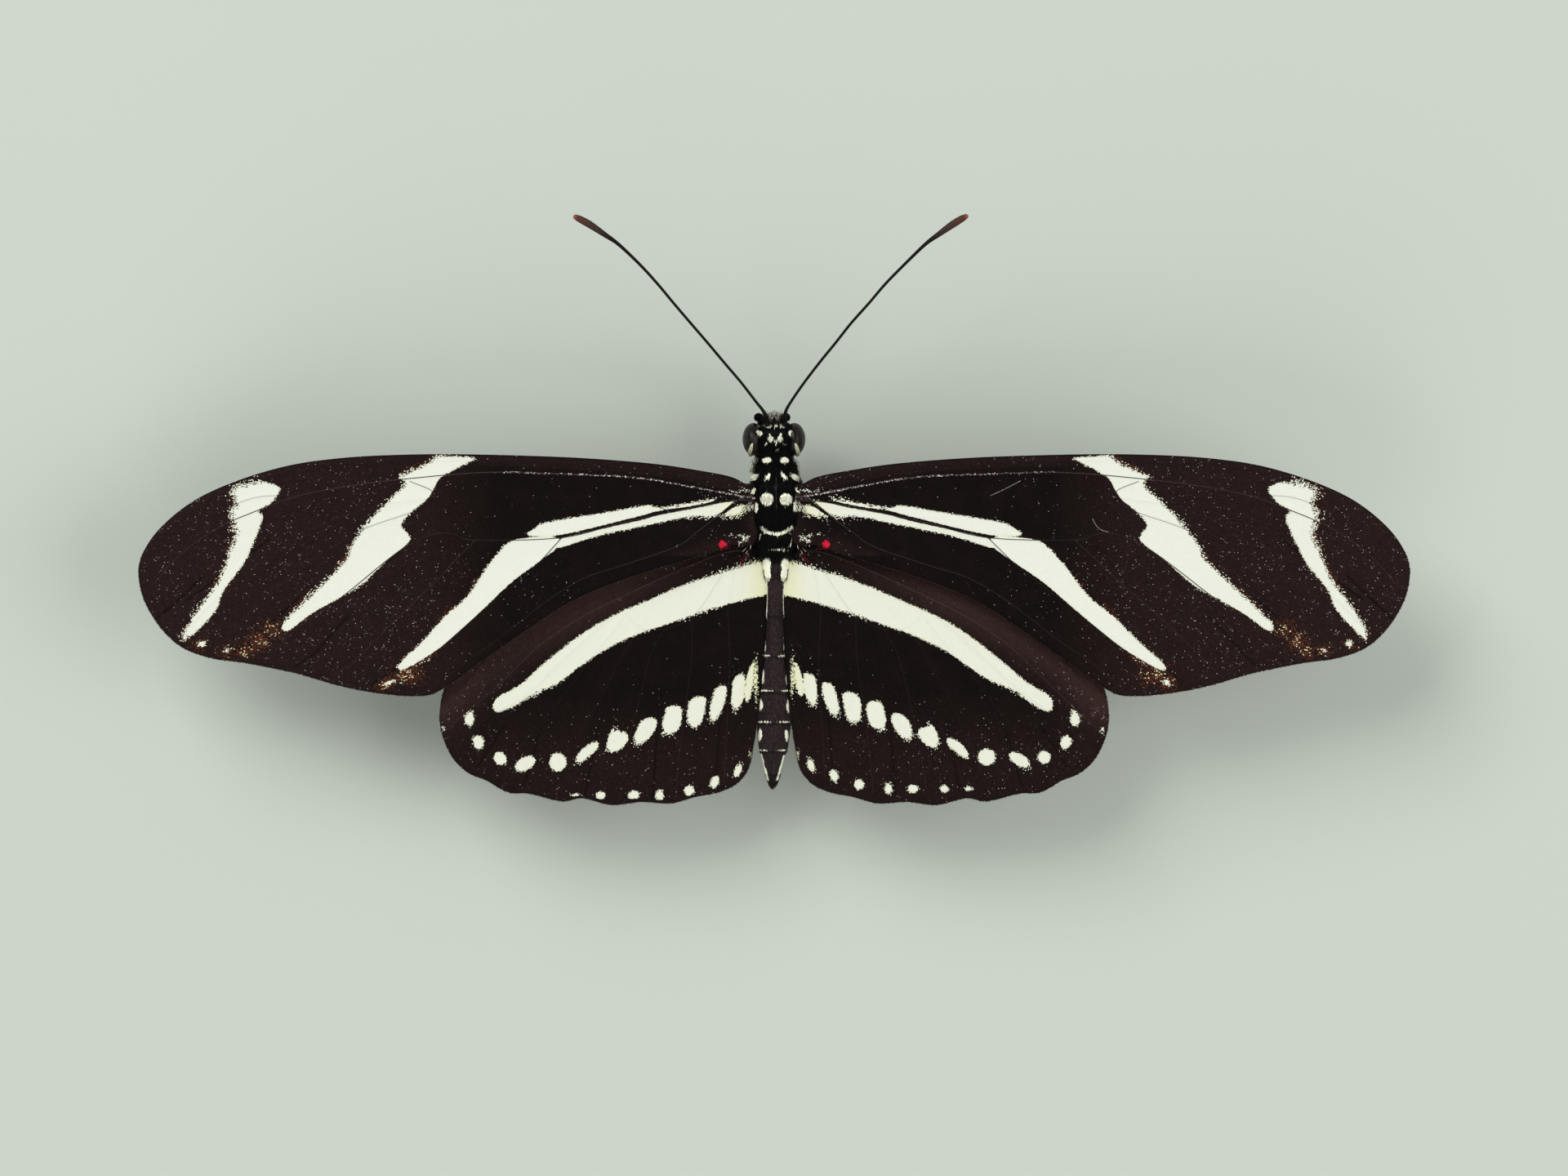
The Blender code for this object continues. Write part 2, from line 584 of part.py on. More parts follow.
def make_tongue():
    middle, _, half_height = section_at(HEAD, TONGUE_ROOT_Y)
    mouth = middle - half_height - JOINT_GAP
    route = [(0.0, TONGUE_ROOT_Y, mouth - down, TONGUE_RADIUS) for down in (0.0, TONGUE_RADIUS)]
    for i in range(TONGUE_STEPS + 1):
        share = i / TONGUE_STEPS
        angle = math.radians(TONGUE_START - 360 * TONGUE_TURNS * share)
        reach = TONGUE_OUTER + (TONGUE_INNER - TONGUE_OUTER) * share
        route.append((
            0.0,
            TONGUE_CENTRE[0] + reach * math.cos(angle),
            TONGUE_CENTRE[1] + reach * math.sin(angle),
            TONGUE_RADIUS * (1 - TONGUE_TAPER * share),
        ))
    tube("proboscis", route, TONGUE_MESH, "tongue")


def make_legs():
    """Two short forelegs folded against the breast, and two pairs that stand on the floor."""
    legs = {
        "foreleg": (limb_root(PROTHORAX, FORELEG_ROOT) + FORELEG, FORELEG_MESH),
        "midleg": (limb_root(THORAX, MID_LEG_ROOT) + MID_LEG, LEG_MESH),
        "hindleg": (limb_root(THORAX, HIND_LEG_ROOT) + HIND_LEG, LEG_MESH),
    }
    for side in SIDES:
        for name, (route, step_and_sides) in legs.items():
            tube(f"{name}_{side}", on_side(route, side), step_and_sides, "leg", floor=FLOOR)


def main():
    clear_scene()
    make_thorax()
    make_abdomen()
    make_head()
    make_antennae()
    make_tongue()
    make_legs()
    make_wings()


main()
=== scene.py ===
"""Zebra longwing butterfly, life size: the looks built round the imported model.

The file is laid out as an add-on and is run as a script. Lengths in the tables are millimetres, and MM
turns them into metres where a mesh is made. +X is the butterfly's right, +Y its head, +Z up.
"""

import math

import bmesh
import bpy
import numpy as np
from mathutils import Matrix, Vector
from mathutils.geometry import delaunay_2d_cdt


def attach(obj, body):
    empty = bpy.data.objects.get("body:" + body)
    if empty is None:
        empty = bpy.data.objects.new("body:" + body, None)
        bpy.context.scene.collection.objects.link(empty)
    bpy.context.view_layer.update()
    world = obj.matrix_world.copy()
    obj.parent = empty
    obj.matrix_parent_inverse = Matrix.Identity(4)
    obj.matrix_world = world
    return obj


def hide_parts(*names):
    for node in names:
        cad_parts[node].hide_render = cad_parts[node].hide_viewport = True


bl_info = {
    "name": "Zebra longwing",
    "version": (1, 0, 0),
    "blender": (4, 5, 0),
    "location": "3D View > Sidebar > Longwing",
    "description": "Wings, coat, eyes, feelers, tongue and legs of a zebra longwing butterfly",
    "category": "Object",
}

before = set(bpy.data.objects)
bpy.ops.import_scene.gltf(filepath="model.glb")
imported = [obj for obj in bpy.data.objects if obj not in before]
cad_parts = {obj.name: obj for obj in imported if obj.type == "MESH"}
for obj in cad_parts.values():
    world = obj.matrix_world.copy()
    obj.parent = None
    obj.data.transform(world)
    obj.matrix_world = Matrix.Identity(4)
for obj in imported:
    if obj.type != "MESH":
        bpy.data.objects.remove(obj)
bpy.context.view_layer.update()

MM = 0.001
SIDES = {"right": 1, "left": -1}


# The wings' middle surface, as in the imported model.
WING_ROOT_HEIGHT = 8.1
WING_ARCH_RISE = 1.1
WING_ARCH_TOP = 25.0
TAILWARD_FALL = 0.035
HINDWING_DROP = 1.14

# Relief of the wings: half thickness inside and at the rim, ridges on the veins, and the shallow
# troughs of membrane between them.
HALF_MEMBRANE = 0.06
HALF_RIM = 0.02
RIM_TAPER = 0.35
VEIN_RADIUS = 0.085
VEIN_RISE = 0.05
TROUGH_DEPTH = 0.055
TROUGH_REACH = 1.3
FOLD_DEPTH = 0.07
FOLD_WIDTH = 0.35

# Spacing of the points that make the wing meshes.
RIM_STEP = 0.17
VEIN_STEP = 0.26
VEIN_JOIN = 0.06
FILL_STEP = 0.2
CUT_STEP = 0.1
LINE_ROOM = 0.09
JOIN_GAP = 1e-5
# Rows of points beside a line, and the room that other points leave it, in vein radii.
SHOULDER_ROWS = (-2.4, -1, 1, 2.4)
SHOULDER_ROOM = 0.9
FILL_ROOM = 3.2
# A depth or distance that stands for far away, and how many points are measured at a time.
FAR = 10.0
BATCH = 4000

# Wing outlines, right side. The roots lie under the thorax's skin.
FOREWING_EDGE = [
    (1.2, 1.35), (2.0, 1.82), (2.9, 2.24), (4.7, 2.6), (8.1, 3.1), (13.5, 3.5), (20.4, 3.7),
    (25.3, 3.65), (29.1, 3.4), (32.3, 2.9), (35.6, 1.9), (38.3, 0.65), (40.4, -1.0), (41.6, -2.6),
    (42.0, -4.1), (41.6, -6.0), (40.5, -7.8), (39.1, -9.05), (37.2, -9.75), (34.8, -10.1),
    (31.8, -10.7), (28.6, -11.6), (25.9, -12.1), (23.7, -12.25), (22.2, -11.95), (19.7, -10.2),
    (16.5, -8.0), (13.4, -6.0), (9.8, -4.5), (5.9, -3.3), (3.0, -2.35), (1.2, -2.0),
]
HINDWING_EDGE = [
    (1.0, -1.5), (2.4, -1.6), (3.8, -2.0), (6.5, -2.45), (10.8, -3.5), (14.6, -5.1), (17.8, -7.2),
    (20.5, -9.5), (21.8, -11.7), (22.15, -13.6), (21.9, -15.1), (21.2, -16.5), (20.2, -17.4),
    (19.0, -17.9), (17.65, -18.65), (16.2, -18.75), (14.1, -19.25), (12.7, -19.05), (10.8, -19.5),
    (8.8, -19.3), (6.9, -19.4), (5.3, -19.0), (3.8, -18.7), (2.7, -18.25), (2.0, -17.6), (1.6, -16.8),
    (1.36, -15.5), (1.16, -14.3), (1.02, -13.2), (0.9, -12.0), (0.8, -10.9), (0.65, -9.8), (0.5, -8.2),
    (0.42, -6.6), (0.42, -5.2), (0.6, -4.2), (0.9, -3.2),
]

# Veins from the root outwards. The number before each is how pale its line is on the dark ground.
FOREWING_VEINS = {
    "costa": (0.0, [(1.3, 1.3), (3.0, 1.75), (8.1, 2.75), (13.5, 3.1), (20.4, 3.3), (26.5, 3.2),
        (31.0, 2.75), (35.3, 1.55), (38.3, 0.1), (40.4, -1.7)]),
    "subcosta": (0.03, [(1.3, 1.05), (3.0, 1.45), (6.2, 2.1), (10.0, 2.6), (14.8, 2.85), (19.5, 3.0)]),
    "radius": (0.8, [(1.3, 0.85), (3.0, 1.1), (6.2, 1.7), (9.5, 2.2), (14.0, 2.4), (19.0, 2.5),
        (24.5, 2.05), (28.4, 1.55), (31.4, 0.95), (34.2, -0.05), (37.0, -1.3), (39.6, -3.2),
        (41.0, -4.8)]),
    "radius_2": (0.15, [(26.3, 1.8), (29.5, 2.15), (32.4, 1.95)]),
    "radius_4": (0.2, [(31.4, 0.95), (34.2, 0.85), (37.2, -0.25)]),
    "cell_end": (0.12, [(24.0, 1.9), (22.6, 1.3), (22.75, 0.85), (23.2, 0.3), (23.9, -0.13),
        (22.9, -1.0), (22.0, -1.55)]),
    "media_1": (0.1, [(22.8, 0.8), (25.4, 0.4), (28.4, -0.4), (31.4, -1.75), (35.1, -4.25),
        (38.1, -6.85), (39.3, -8.3)]),
    "media_2": (0.12, [(23.9, -0.13), (27.0, -1.19), (28.7, -2.1), (31.4, -3.85), (34.4, -6.35),
        (37.2, -9.3)]),
    "media_3": (0.2, [(21.2, -1.55), (22.5, -1.56), (24.2, -2.26), (25.8, -3.3), (29.2, -5.9),
        (31.8, -7.6), (33.8, -9.8)]),
    "cubitus": (0.2, [(1.3, 0.7), (3.0, 0.6), (6.0, 0.05), (10.0, -0.8), (14.1, -1.8), (19.8, -1.95),
        (21.2, -1.55)]),
    "cubitus_1": (0.3, [(19.8, -1.95), (21.5, -3.5), (22.8, -4.75), (25.4, -7.0), (28.4, -9.9),
        (29.4, -10.9)]),
    "cubitus_2": (0.06, [(14.1, -1.8), (16.3, -3.9), (19.0, -5.95), (22.3, -8.6), (24.6, -10.5),
        (25.8, -11.8)]),
    "anal": (0.14, [(1.4, 1.05), (2.45, 0.68), (3.3, 0.0), (4.25, -0.77), (5.2, -1.45), (6.6, -2.4),
        (10.1, -3.6), (12.9, -4.5), (15.7, -6.2), (18.4, -8.3), (21.1, -10.2), (22.5, -11.3)]),
}
HINDWING_VEINS = {
    "front": (0.04, [(1.4, -2.4), (3.6, -2.55), (6.5, -3.1), (10.8, -4.4), (15.0, -6.6), (18.6, -9.5),
        (21.0, -12.2)]),
    "radius": (0.2, [(1.4, -2.6), (3.3, -2.8), (6.4, -4.0), (10.1, -5.7), (13.0, -7.2), (15.5, -8.9),
        (17.5, -10.8), (20.2, -13.4), (21.6, -14.6)]),
    "media_1": (0.04, [(8.2, -4.95), (12.0, -8.1), (16.0, -11.7), (19.8, -14.6), (20.7, -16.2)]),
    "media_2": (0.03, [(9.8, -6.9), (13.6, -11.6), (17.2, -16.4), (18.3, -18.0)]),
    "media_3": (0.03, [(8.9, -7.7), (11.2, -11.7), (13.2, -16.0), (14.3, -18.9)]),
    "cell_end": (0.04, [(10.1, -5.7), (9.8, -6.9), (8.9, -7.7), (7.3, -7.9)]),
    "cubitus": (0.04, [(1.5, -2.8), (2.8, -3.2), (3.6, -4.5), (5.4, -7.0), (7.3, -7.9)]),
    "cubitus_1": (0.04, [(7.3, -7.9), (8.3, -9.9), (9.4, -14.6), (10.2, -19.0)]),
    "cubitus_2": (0.04, [(5.4, -7.0), (5.5, -10.0), (6.0, -13.4), (6.6, -18.8)]),
    "anal": (0.04, [(1.5, -3.0), (2.5, -3.6), (3.05, -6.2), (2.95, -9.4), (3.05, -12.2),
        (3.35, -17.7)]),
}

# Soft folds that run in from the outer margin, each as its two ends. Each dents the wing, and the
# finish paints shade along it.
FOREWING_FOLDS = [
    [(28.7, -7.0), (31.8, -10.3)], [(31.8, -5.8), (36.1, -9.6)], [(37.8, -4.3), (40.9, -7.2)],
    [(25.7, -10.0), (26.9, -11.5)], [(33.4, -1.9), (38.9, -5.9)],
]
HINDWING_FOLDS = [
    [(3.6, -13.5), (3.9, -18.0)], [(7.6, -12.0), (8.0, -18.8)], [(11.3, -13.5), (12.3, -18.6)],
    [(15.2, -14.2), (16.4, -18.2)], [(17.6, -14.2), (19.4, -17.0)],
]

# Pale markings of the wings as closed curves, in runs: how ragged the edge is, then the run's points.
# Edges along a vein are clean, and those away from the root are ragged.
CLEAN = 0.02
WORN = 0.06
RAGGED = 0.15
TORN = 0.3
FOREWING_MARKS = {
    "apical": [
        (WORN, (32.6, 1.4), (33.3, 1.8)), (TORN, (34.4, 1.85), (35.3, 1.6), (35.75, 1.2), (35.5, 0.5),
        (35.85, -0.35), (35.55, -1.5)), (RAGGED, (36.1, -2.95), (36.8, -4.6), (37.6, -5.65),
        (38.5, -6.85), (39.05, -7.8), (39.1, -8.5)), (WORN, (38.65, -8.2), (38.05, -7.6),
        (37.05, -6.45), (36.55, -5.25), (35.2, -3.55), (34.65, -2.55), (34.05, -1.3), (33.75, -0.4),
        (34.05, -0.05), (33.15, 0.55)),
    ],
    "subapical": [
        (WORN, (19.7, 3.45), (21.0, 3.55)), (RAGGED, (22.2, 3.55), (22.9, 3.0), (24.6, 2.25),
        (24.35, 1.7), (25.3, 0.75), (26.75, -0.7), (28.0, -2.3), (28.4, -3.2), (30.05, -4.8),
        (32.1, -6.7)), (WORN, (32.95, -7.6), (32.6, -7.95)), (CLEAN, (31.05, -6.85)),
        (WORN, (29.45, -5.95), (27.75, -5.0)), (CLEAN, (25.95, -3.45), (24.25, -2.1)),
        (WORN, (24.2, -1.6), (24.6, -0.95), (23.95, -0.15)), (CLEAN, (22.8, 0.85), (22.1, 2.05)),
        (WORN, (21.35, 2.55), (20.4, 3.05)),
    ],
    "median": [
        (CLEAN, (15.7, -1.75), (16.6, -1.85)), (WORN, (17.7, -2.15), (19.1, -3.55), (20.75, -5.65),
        (22.45, -7.05), (24.05, -8.65), (25.7, -10.1), (25.6, -10.55)), (CLEAN, (24.05, -9.75),
        (22.2, -8.5), (19.75, -6.45), (17.7, -4.7), (15.8, -3.4), (14.5, -2.45), (14.3, -1.85)),
    ],
    "cell streak": [
        (RAGGED, (3.75, 0.84), (4.56, 0.68)), (WORN, (5.6, 0.49), (7.66, 0.2), (8.45, 0.33),
        (10.85, -0.1), (13.4, -0.5), (15.2, -0.85), (15.85, -1.2)), (CLEAN, (16.35, -1.65),
        (14.0, -1.58), (9.1, -0.42), (7.66, -0.03), (5.6, 0.28), (4.2, 0.58)),
    ],
    "hind streak": [
        (WORN, (2.5, 0.66)), (CLEAN, (3.53, 0.5), (4.56, 0.26), (6.1, -0.03), (7.66, -0.32),
        (9.1, -0.72), (13.9, -1.8), (14.6, -2.2), (14.3, -2.45)), (WORN, (11.8, -1.7), (9.1, -1.12),
        (7.66, -0.83), (6.31, -0.54)), (RAGGED, (5.08, -0.4), (4.5, -0.42), (3.95, -0.4)),
        (CLEAN, (3.5, -0.12), (3.18, 0.14), (2.78, 0.44)),
    ],
    "root patch": [
        (WORN, (1.7, 0.2), (1.95, 0.34), (2.5, 0.28)), (CLEAN, (2.95, 0.02), (3.22, -0.2)),
        (RAGGED, (3.5, -0.42), (2.81, -0.41), (2.2, -0.25)), (WORN, (1.85, -0.05)),
    ],
}
HINDWING_MARKS = {
    "band": [
        (RAGGED, (1.0, -3.3), (3.3, -4.0)), (WORN, (5.95, -4.9), (8.4, -5.95), (10.35, -6.8),
        (12.5, -8.0), (15.0, -9.9), (16.65, -11.3), (18.1, -12.2), (18.45, -12.85), (18.1, -13.3),
        (17.15, -12.85)), (RAGGED, (15.8, -11.9)), (WORN, (14.2, -11.2), (12.7, -10.2), (11.2, -9.2),
        (9.05, -8.2), (6.75, -7.4)), (RAGGED, (5.6, -7.0)), (WORN, (3.45, -6.3), (1.8, -5.85),
        (0.4, -5.45), (0.3, -4.4), (0.3, -3.4)),
    ],
    "spot 1": [
        (WORN, (1.31, -10.1), (1.58, -10.3)), (CLEAN, (1.82, -11.0), (1.93, -11.9)),
        (WORN, (1.82, -12.35), (1.6, -12.1), (1.42, -11.3)),
    ],
    "spot 2": [
        (WORN, (1.98, -10.85), (2.3, -10.78), (2.7, -11.08)), (CLEAN, (2.81, -11.77)),
        (WORN, (2.84, -12.35)), (RAGGED, (2.65, -12.89), (2.35, -12.82)), (CLEAN, (2.07, -12.2),
        (1.98, -11.5)),
    ],
    "spot 3": [
        (WORN, (3.16, -11.6), (3.39, -11.38), (3.86, -11.59), (4.09, -12.12), (4.27, -12.93)),
        (RAGGED, (4.25, -13.5), (3.97, -13.6)), (WORN, (3.56, -13.1), (3.28, -12.4)),
    ],
    "spot 4": [
        (WORN, (4.53, -12.25), (4.78, -12.02), (5.36, -12.12), (5.67, -12.5), (5.78, -13.16)),
        (RAGGED, (5.68, -13.8), (5.25, -14.05)), (WORN, (4.85, -13.78), (4.62, -13.0)),
    ],
    "spot 5": [
        (WORN, (6.13, -12.85), (6.45, -12.63), (7.08, -12.72), (7.27, -13.28), (7.4, -13.98)),
        (RAGGED, (7.2, -14.5)), (WORN, (6.64, -14.42), (6.29, -14.05), (6.15, -13.4)),
    ],
    "spot 6": [
        (WORN, (7.78, -13.55), (8.15, -13.42), (8.75, -13.72), (9.05, -14.32)), (RAGGED, (9.18, -15.0),
        (8.84, -15.15)), (WORN, (8.38, -14.93), (7.98, -14.45), (7.78, -13.95)),
    ],
    "spot 7": [
        (WORN, (9.58, -14.5), (10.0, -14.36)), (RAGGED, (10.32, -14.18)), (WORN, (10.68, -14.48),
        (10.86, -15.0)), (RAGGED, (10.84, -15.57)), (WORN, (10.42, -15.68), (9.97, -15.44),
        (9.6, -14.95)),
    ],
    "spot 8": [
        (WORN, (11.42, -15.1), (11.8, -15.08), (12.38, -15.46), (12.78, -15.93)),
        (RAGGED, (12.83, -16.38)), (WORN, (12.4, -16.27), (11.97, -15.95), (11.55, -15.55)),
    ],
    "spot 10": [
        (WORN, (15.56, -16.15), (16.0, -16.0), (16.58, -16.27), (16.9, -16.72)),
        (RAGGED, (16.75, -17.02)), (WORN, (16.21, -16.92), (15.78, -16.6)),
    ],
}

# Oval spots of the wings: place, half width, half height, and turn in degrees.
FOREWING_SPOTS = [
    (2.0, 1.33, 0.22, 0.05, 0), (2.2, 1.2, 0.07, 0.06, 0), (2.75, 1.28, 0.09, 0.05, 0),
    (2.05, -1.95, 0.09, 0.15, 10), (2.3, -1.7, 0.16, 0.05, -10), (1.8, -1.8, 0.07, 0.12, 0),
    (2.32, -2.12, 0.08, 0.09, 0), (2.6, -1.62, 0.24, 0.03, 5), (37.96, -8.8, 0.22, 0.2, 0),
    (36.3, -9.25, 0.22, 0.1, -20), (25.9, -11.35, 0.28, 0.16, -30),
]
HINDWING_SPOTS = [
    (1.2, -11.0, 0.1, 1.05, 0), (14.06, -16.32, 0.57, 0.55, 0), (17.88, -16.34, 0.43, 0.42, 0),
    (19.32, -15.32, 0.35, 0.45, -15), (19.92, -13.8, 0.32, 0.45, 0), (19.8, -13.35, 0.12, 0.2, 0),
    (21.75, -14.56, 0.12, 0.26, 0), (1.56, -16.06, 0.08, 0.32, 0), (2.42, -16.87, 0.23, 0.44, 22),
    (3.97, -17.57, 0.27, 0.42, 25), (5.64, -18.15, 0.33, 0.34, 20), (7.57, -18.43, 0.25, 0.37, 0),
    (9.19, -18.43, 0.36, 0.28, 0), (11.27, -18.43, 0.29, 0.26, 0), (12.9, -18.43, 0.26, 0.15, 0),
]
CRIMSON_SPOTS = {
    "forewing": [(3.42, -2.25, 0.25, 0.24, 0)],
    "hindwing": [(3.42, -2.25, 0.25, 0.24, 0), (1.85, -2.9, 0.05, 0.12, 20)],
}
UNDER_CRIMSON = {
    "forewing": [(2.6, -0.9, 0.3, 0.2, -20), (4.3, 1.6, 0.5, 0.16, 12)],
    "hindwing": [(2.6, -3.1, 0.34, 0.28, 0), (3.9, -2.9, 0.34, 0.24, 0), (5.2, -3.5, 0.3, 0.22, -20),
                 (1.9, -4.3, 0.2, 0.3, 0), (3.2, -15.4, 0.22, 0.7, 0), (5.3, -16.0, 0.26, 0.6, 0)],
}

# Places where the scales are worn: x, y, reach, and how much.
FOREWING_WEAR = [
    (21.2, -4.3, 1.5, 1.0), (32.0, -3.6, 2.4, 0.9), (27.5, -6.5, 3.5, 0.65), (36.5, -3.0, 3.0, 0.7),
    (30.0, -8.5, 3.5, 0.75), (16.0, -7.0, 2.5, 0.45), (24.0, -5.5, 3.0, 0.6), (25.0, -11.2, 1.5, 0.7),
    (39.0, -5.0, 3.5, 0.7), (3.0, 1.1, 1.5, 0.9), (16.5, -4.9, 2.0, 0.4), (34.5, -8.8, 1.6, 0.8),
    (28.0, 1.6, 3.5, 0.5), (4.0, -1.1, 0.8, 1.0), (37.5, 0.0, 2.0, 0.5), (18.0, 0.5, 4.0, 0.12),
]
HINDWING_WEAR = [
    (19.4, -12.0, 2.0, 0.8), (17.8, -10.5, 1.5, 0.5), (2.6, -2.9, 1.0, 0.9), (21.4, -13.6, 1.4, 0.9),
    (9.0, -16.5, 3.5, 0.35), (2.4, -10.4, 0.9, 0.7), (13.0, -17.0, 3.0, 0.4), (5.5, -2.6, 1.5, 0.6),
    (18.0, -16.0, 3.0, 0.3),
]
# Rust-brown scales where a pale band meets the dark: x, y, reach, and how much.
FOREWING_RUST = [
    (24.0, -10.0, 0.9, 0.8), (23.3, 3.1, 1.0, 0.9), (36.2, 0.9, 0.8, 0.6), (36.4, -1.6, 1.2, 0.7),
    (37.2, -4.4, 1.0, 0.7), (38.9, -8.3, 0.5, 0.5), (28.6, -3.1, 1.0, 0.5), (22.3, -6.4, 0.9, 0.5),
    (31.5, -5.9, 1.0, 0.6), (20.4, -4.6, 0.6, 0.4),
]
# Patches of rust-brown and pale scales on the dark ground beyond the band ends.
FOREWING_SCORCH = [
    (33.7, -7.8, 0.55, 0.75), (34.5, -8.6, 0.55, 0.85), (35.2, -9.3, 0.42, 0.9),
    (25.3, -10.75, 0.6, 0.8), (26.0, -11.4, 0.42, 1.0), (24.7, -10.9, 0.5, 0.6),
    (36.3, -9.3, 0.45, 0.55), (38.1, -8.9, 0.4, 0.5),
]
# Thin pale scratches through the scales.
FOREWING_SCRATCHES = [
    [(21.0, -0.55), (21.25, -1.0), (21.6, -1.3), (22.05, -1.42)],
    [(14.3, 0.98), (15.3, 1.45), (16.25, 1.95)],
]


def arithmetic(operation, swapped=False):
    """A method of Value that adds a Math node for one operator."""
    def method(self, other):
        return self.math(operation, *((other, self) if swapped else (self, other)))
    return method


class Value:
    """A number that varies over a surface. Arithmetic on it adds Math nodes to its finish."""

    def __init__(self, finish, socket):
        self.finish = finish
        self.socket = socket

    def math(self, operation, *parts, clamp=False):
        settings = {"operation": operation, "use_clamp": clamp}
        return self.finish.node("Math", settings, dict(enumerate(parts)))[0]

    __add__, __radd__ = arithmetic("ADD"), arithmetic("ADD", swapped=True)
    __sub__, __rsub__ = arithmetic("SUBTRACT"), arithmetic("SUBTRACT", swapped=True)
    __mul__, __rmul__ = arithmetic("MULTIPLY"), arithmetic("MULTIPLY", swapped=True)
    __truediv__, __rtruediv__ = arithmetic("DIVIDE"), arithmetic("DIVIDE", swapped=True)
    __gt__, __lt__ = arithmetic("GREATER_THAN"), arithmetic("LESS_THAN")

    def clamped(self):
        return self.math("ADD", self, 0.0, clamp=True)

    def edge(self, blur):
        """1 where the number is over 0 and 0 where it is under, blurred over that much of it."""
        return (self / blur + 0.5).clamped()

    def step(self, low, high):
        """0 below low, 1 above high, and a smooth rise between."""
        settings = {"interpolation_type": "SMOOTHSTEP"}
        sockets = {"Value": self, "From Min": low, "From Max": high}
        return self.finish.node("MapRange", settings, sockets)["Result"]


class Outputs:
    """The outputs of a node, by name or number, each as a Value."""

    def __init__(self, finish, node):
        self.finish = finish
        self.node = node

    def __getitem__(self, key):
        return Value(self.finish, self.node.outputs[key])


class Finish:
    """A material while it is built. Constants are set on the shader, and feed links the rest."""

    def __init__(self, name, constants):
        self.material = bpy.data.materials.new(name)
        self.material.use_nodes = True
        self.tree = self.material.node_tree
        self.shader = self.tree.nodes["Principled BSDF"]
        for socket, value in constants.items():
            self.shader.inputs[socket].default_value = value

    def node(self, kind, settings, sockets):
        """Adds a node: its type, its settings, then the values or links of its sockets."""
        made = self.tree.nodes.new("ShaderNode" + kind)
        for key, value in settings.items():
            setattr(made, key, value)
        for key, value in sockets.items():
            self.join(made.inputs[key], value)
        return Outputs(self, made)

    def join(self, socket, value):
        if isinstance(value, Value):
            self.tree.links.new(value.socket, socket)
        elif socket.type == "RGBA" and len(value) == 3:
            socket.default_value = (*value, 1.0)
        else:
            socket.default_value = value

    def feed(self, socket, value):
        self.join(self.shader.inputs[socket], value)

    def attribute(self, name, output="Fac"):
        return self.node("Attribute", {"attribute_name": name}, {})[output]

    def place(self):
        return self.node("TexCoord", {}, {})["Object"]

    def noise(self, vector, size, detail=3.0):
        """Noise whose lumps are about the given size in the units of the vector."""
        sockets = {"Vector": vector, "Scale": 1 / size, "Detail": detail, "Roughness": 0.55}
        return self.node("TexNoise", {}, sockets)["Fac"]

    def cells(self, rows):
        """Flat cells of unit size, and three random numbers for each."""
        sockets = {"Vector": rows, "Scale": 1.0, "Randomness": 0.8}
        cells = self.node("TexVoronoi", {"voronoi_dimensions": "2D"}, sockets)
        parts = self.node("SeparateColor", {}, {"Color": cells["Color"]})
        return cells, parts["Red"], parts["Green"], parts["Blue"]

    def stretch(self, vector, factors):
        sockets = {0: vector, 1: factors}
        return self.node("VectorMath", {"operation": "MULTIPLY"}, sockets)["Vector"]

    def mix(self, share, first, second, blend="MIX"):
        """A colour that goes from the first to the second."""
        settings = {"data_type": "RGBA", "blend_type": blend}
        return self.node("Mix", settings, {0: share, 6: first, 7: second})[2]

    def shaded(self, colour, tone):
        """The colour times a tone."""
        grey = self.node("CombineColor", {}, {"Red": tone, "Green": tone, "Blue": tone})["Color"]
        return self.mix(1.0, colour, grey, "MULTIPLY")

    def bump(self, height, strength, distance):
        sockets = {"Height": height, "Strength": strength, "Distance": distance}
        return self.node("Bump", {}, sockets)["Normal"]


def smooth_curve(points, per_span=10, closed=False):
    """Catmull-Rom curve through the points, sampled densely."""
    p = np.array(points, float)
    if closed:
        guides = np.vstack([p[-1:], p, p[:2]])
    else:
        guides = np.vstack([2 * p[0] - p[1], p, 2 * p[-1] - p[-2]])
    t = np.linspace(0, 1, per_span, endpoint=False)[:, None]
    spans = [
        0.5 * (2 * b + (c - a) * t + (2 * a - 5 * b + 4 * c - d) * t**2
               + (3 * b - a - 3 * c + d) * t**3)
        for a, b, c, d in zip(guides, guides[1:], guides[2:], guides[3:])
    ]
    return np.vstack(spans + [p[:1] if closed else p[-1:]])


def lengths_along(line):
    """How far along the line each of its points lies."""
    steps = np.linalg.norm(np.diff(line[:, :3], axis=0), axis=1)
    return np.concatenate([[0], np.cumsum(steps)])


def sampled(line, wanted):
    """The line's points at the wanted lengths along it."""
    along = lengths_along(line)
    return np.stack([np.interp(wanted, along, column) for column in line.T], axis=1)


def even_steps(line, step):
    """The line sampled again at nearly equal steps, both ends kept."""
    length = lengths_along(line)[-1]
    return sampled(line, np.linspace(0, length, max(2, round(length / step) + 1)))


def nearest_on(line, points):
    """For each point, its distance to a polyline and the nearest place along it, in spans."""
    a, b = line[:-1, :2], line[1:, :2]
    run = b - a
    square = np.maximum((run * run).sum(1), 1e-12)
    distances, places = [], []
    for start in range(0, len(points), BATCH):
        rel = points[start:start + BATCH, None, :2] - a[None]
        t = np.clip((rel * run).sum(2) / square, 0, 1)
        gap = np.linalg.norm(rel - t[..., None] * run[None], axis=2)
        best = gap.argmin(1)
        rows = np.arange(len(best))
        distances.append(gap[rows, best])
        places.append(best + t[rows, best])
    return np.concatenate(distances), np.concatenate(places)


def distance_to(line, points):
    return nearest_on(line, points)[0]


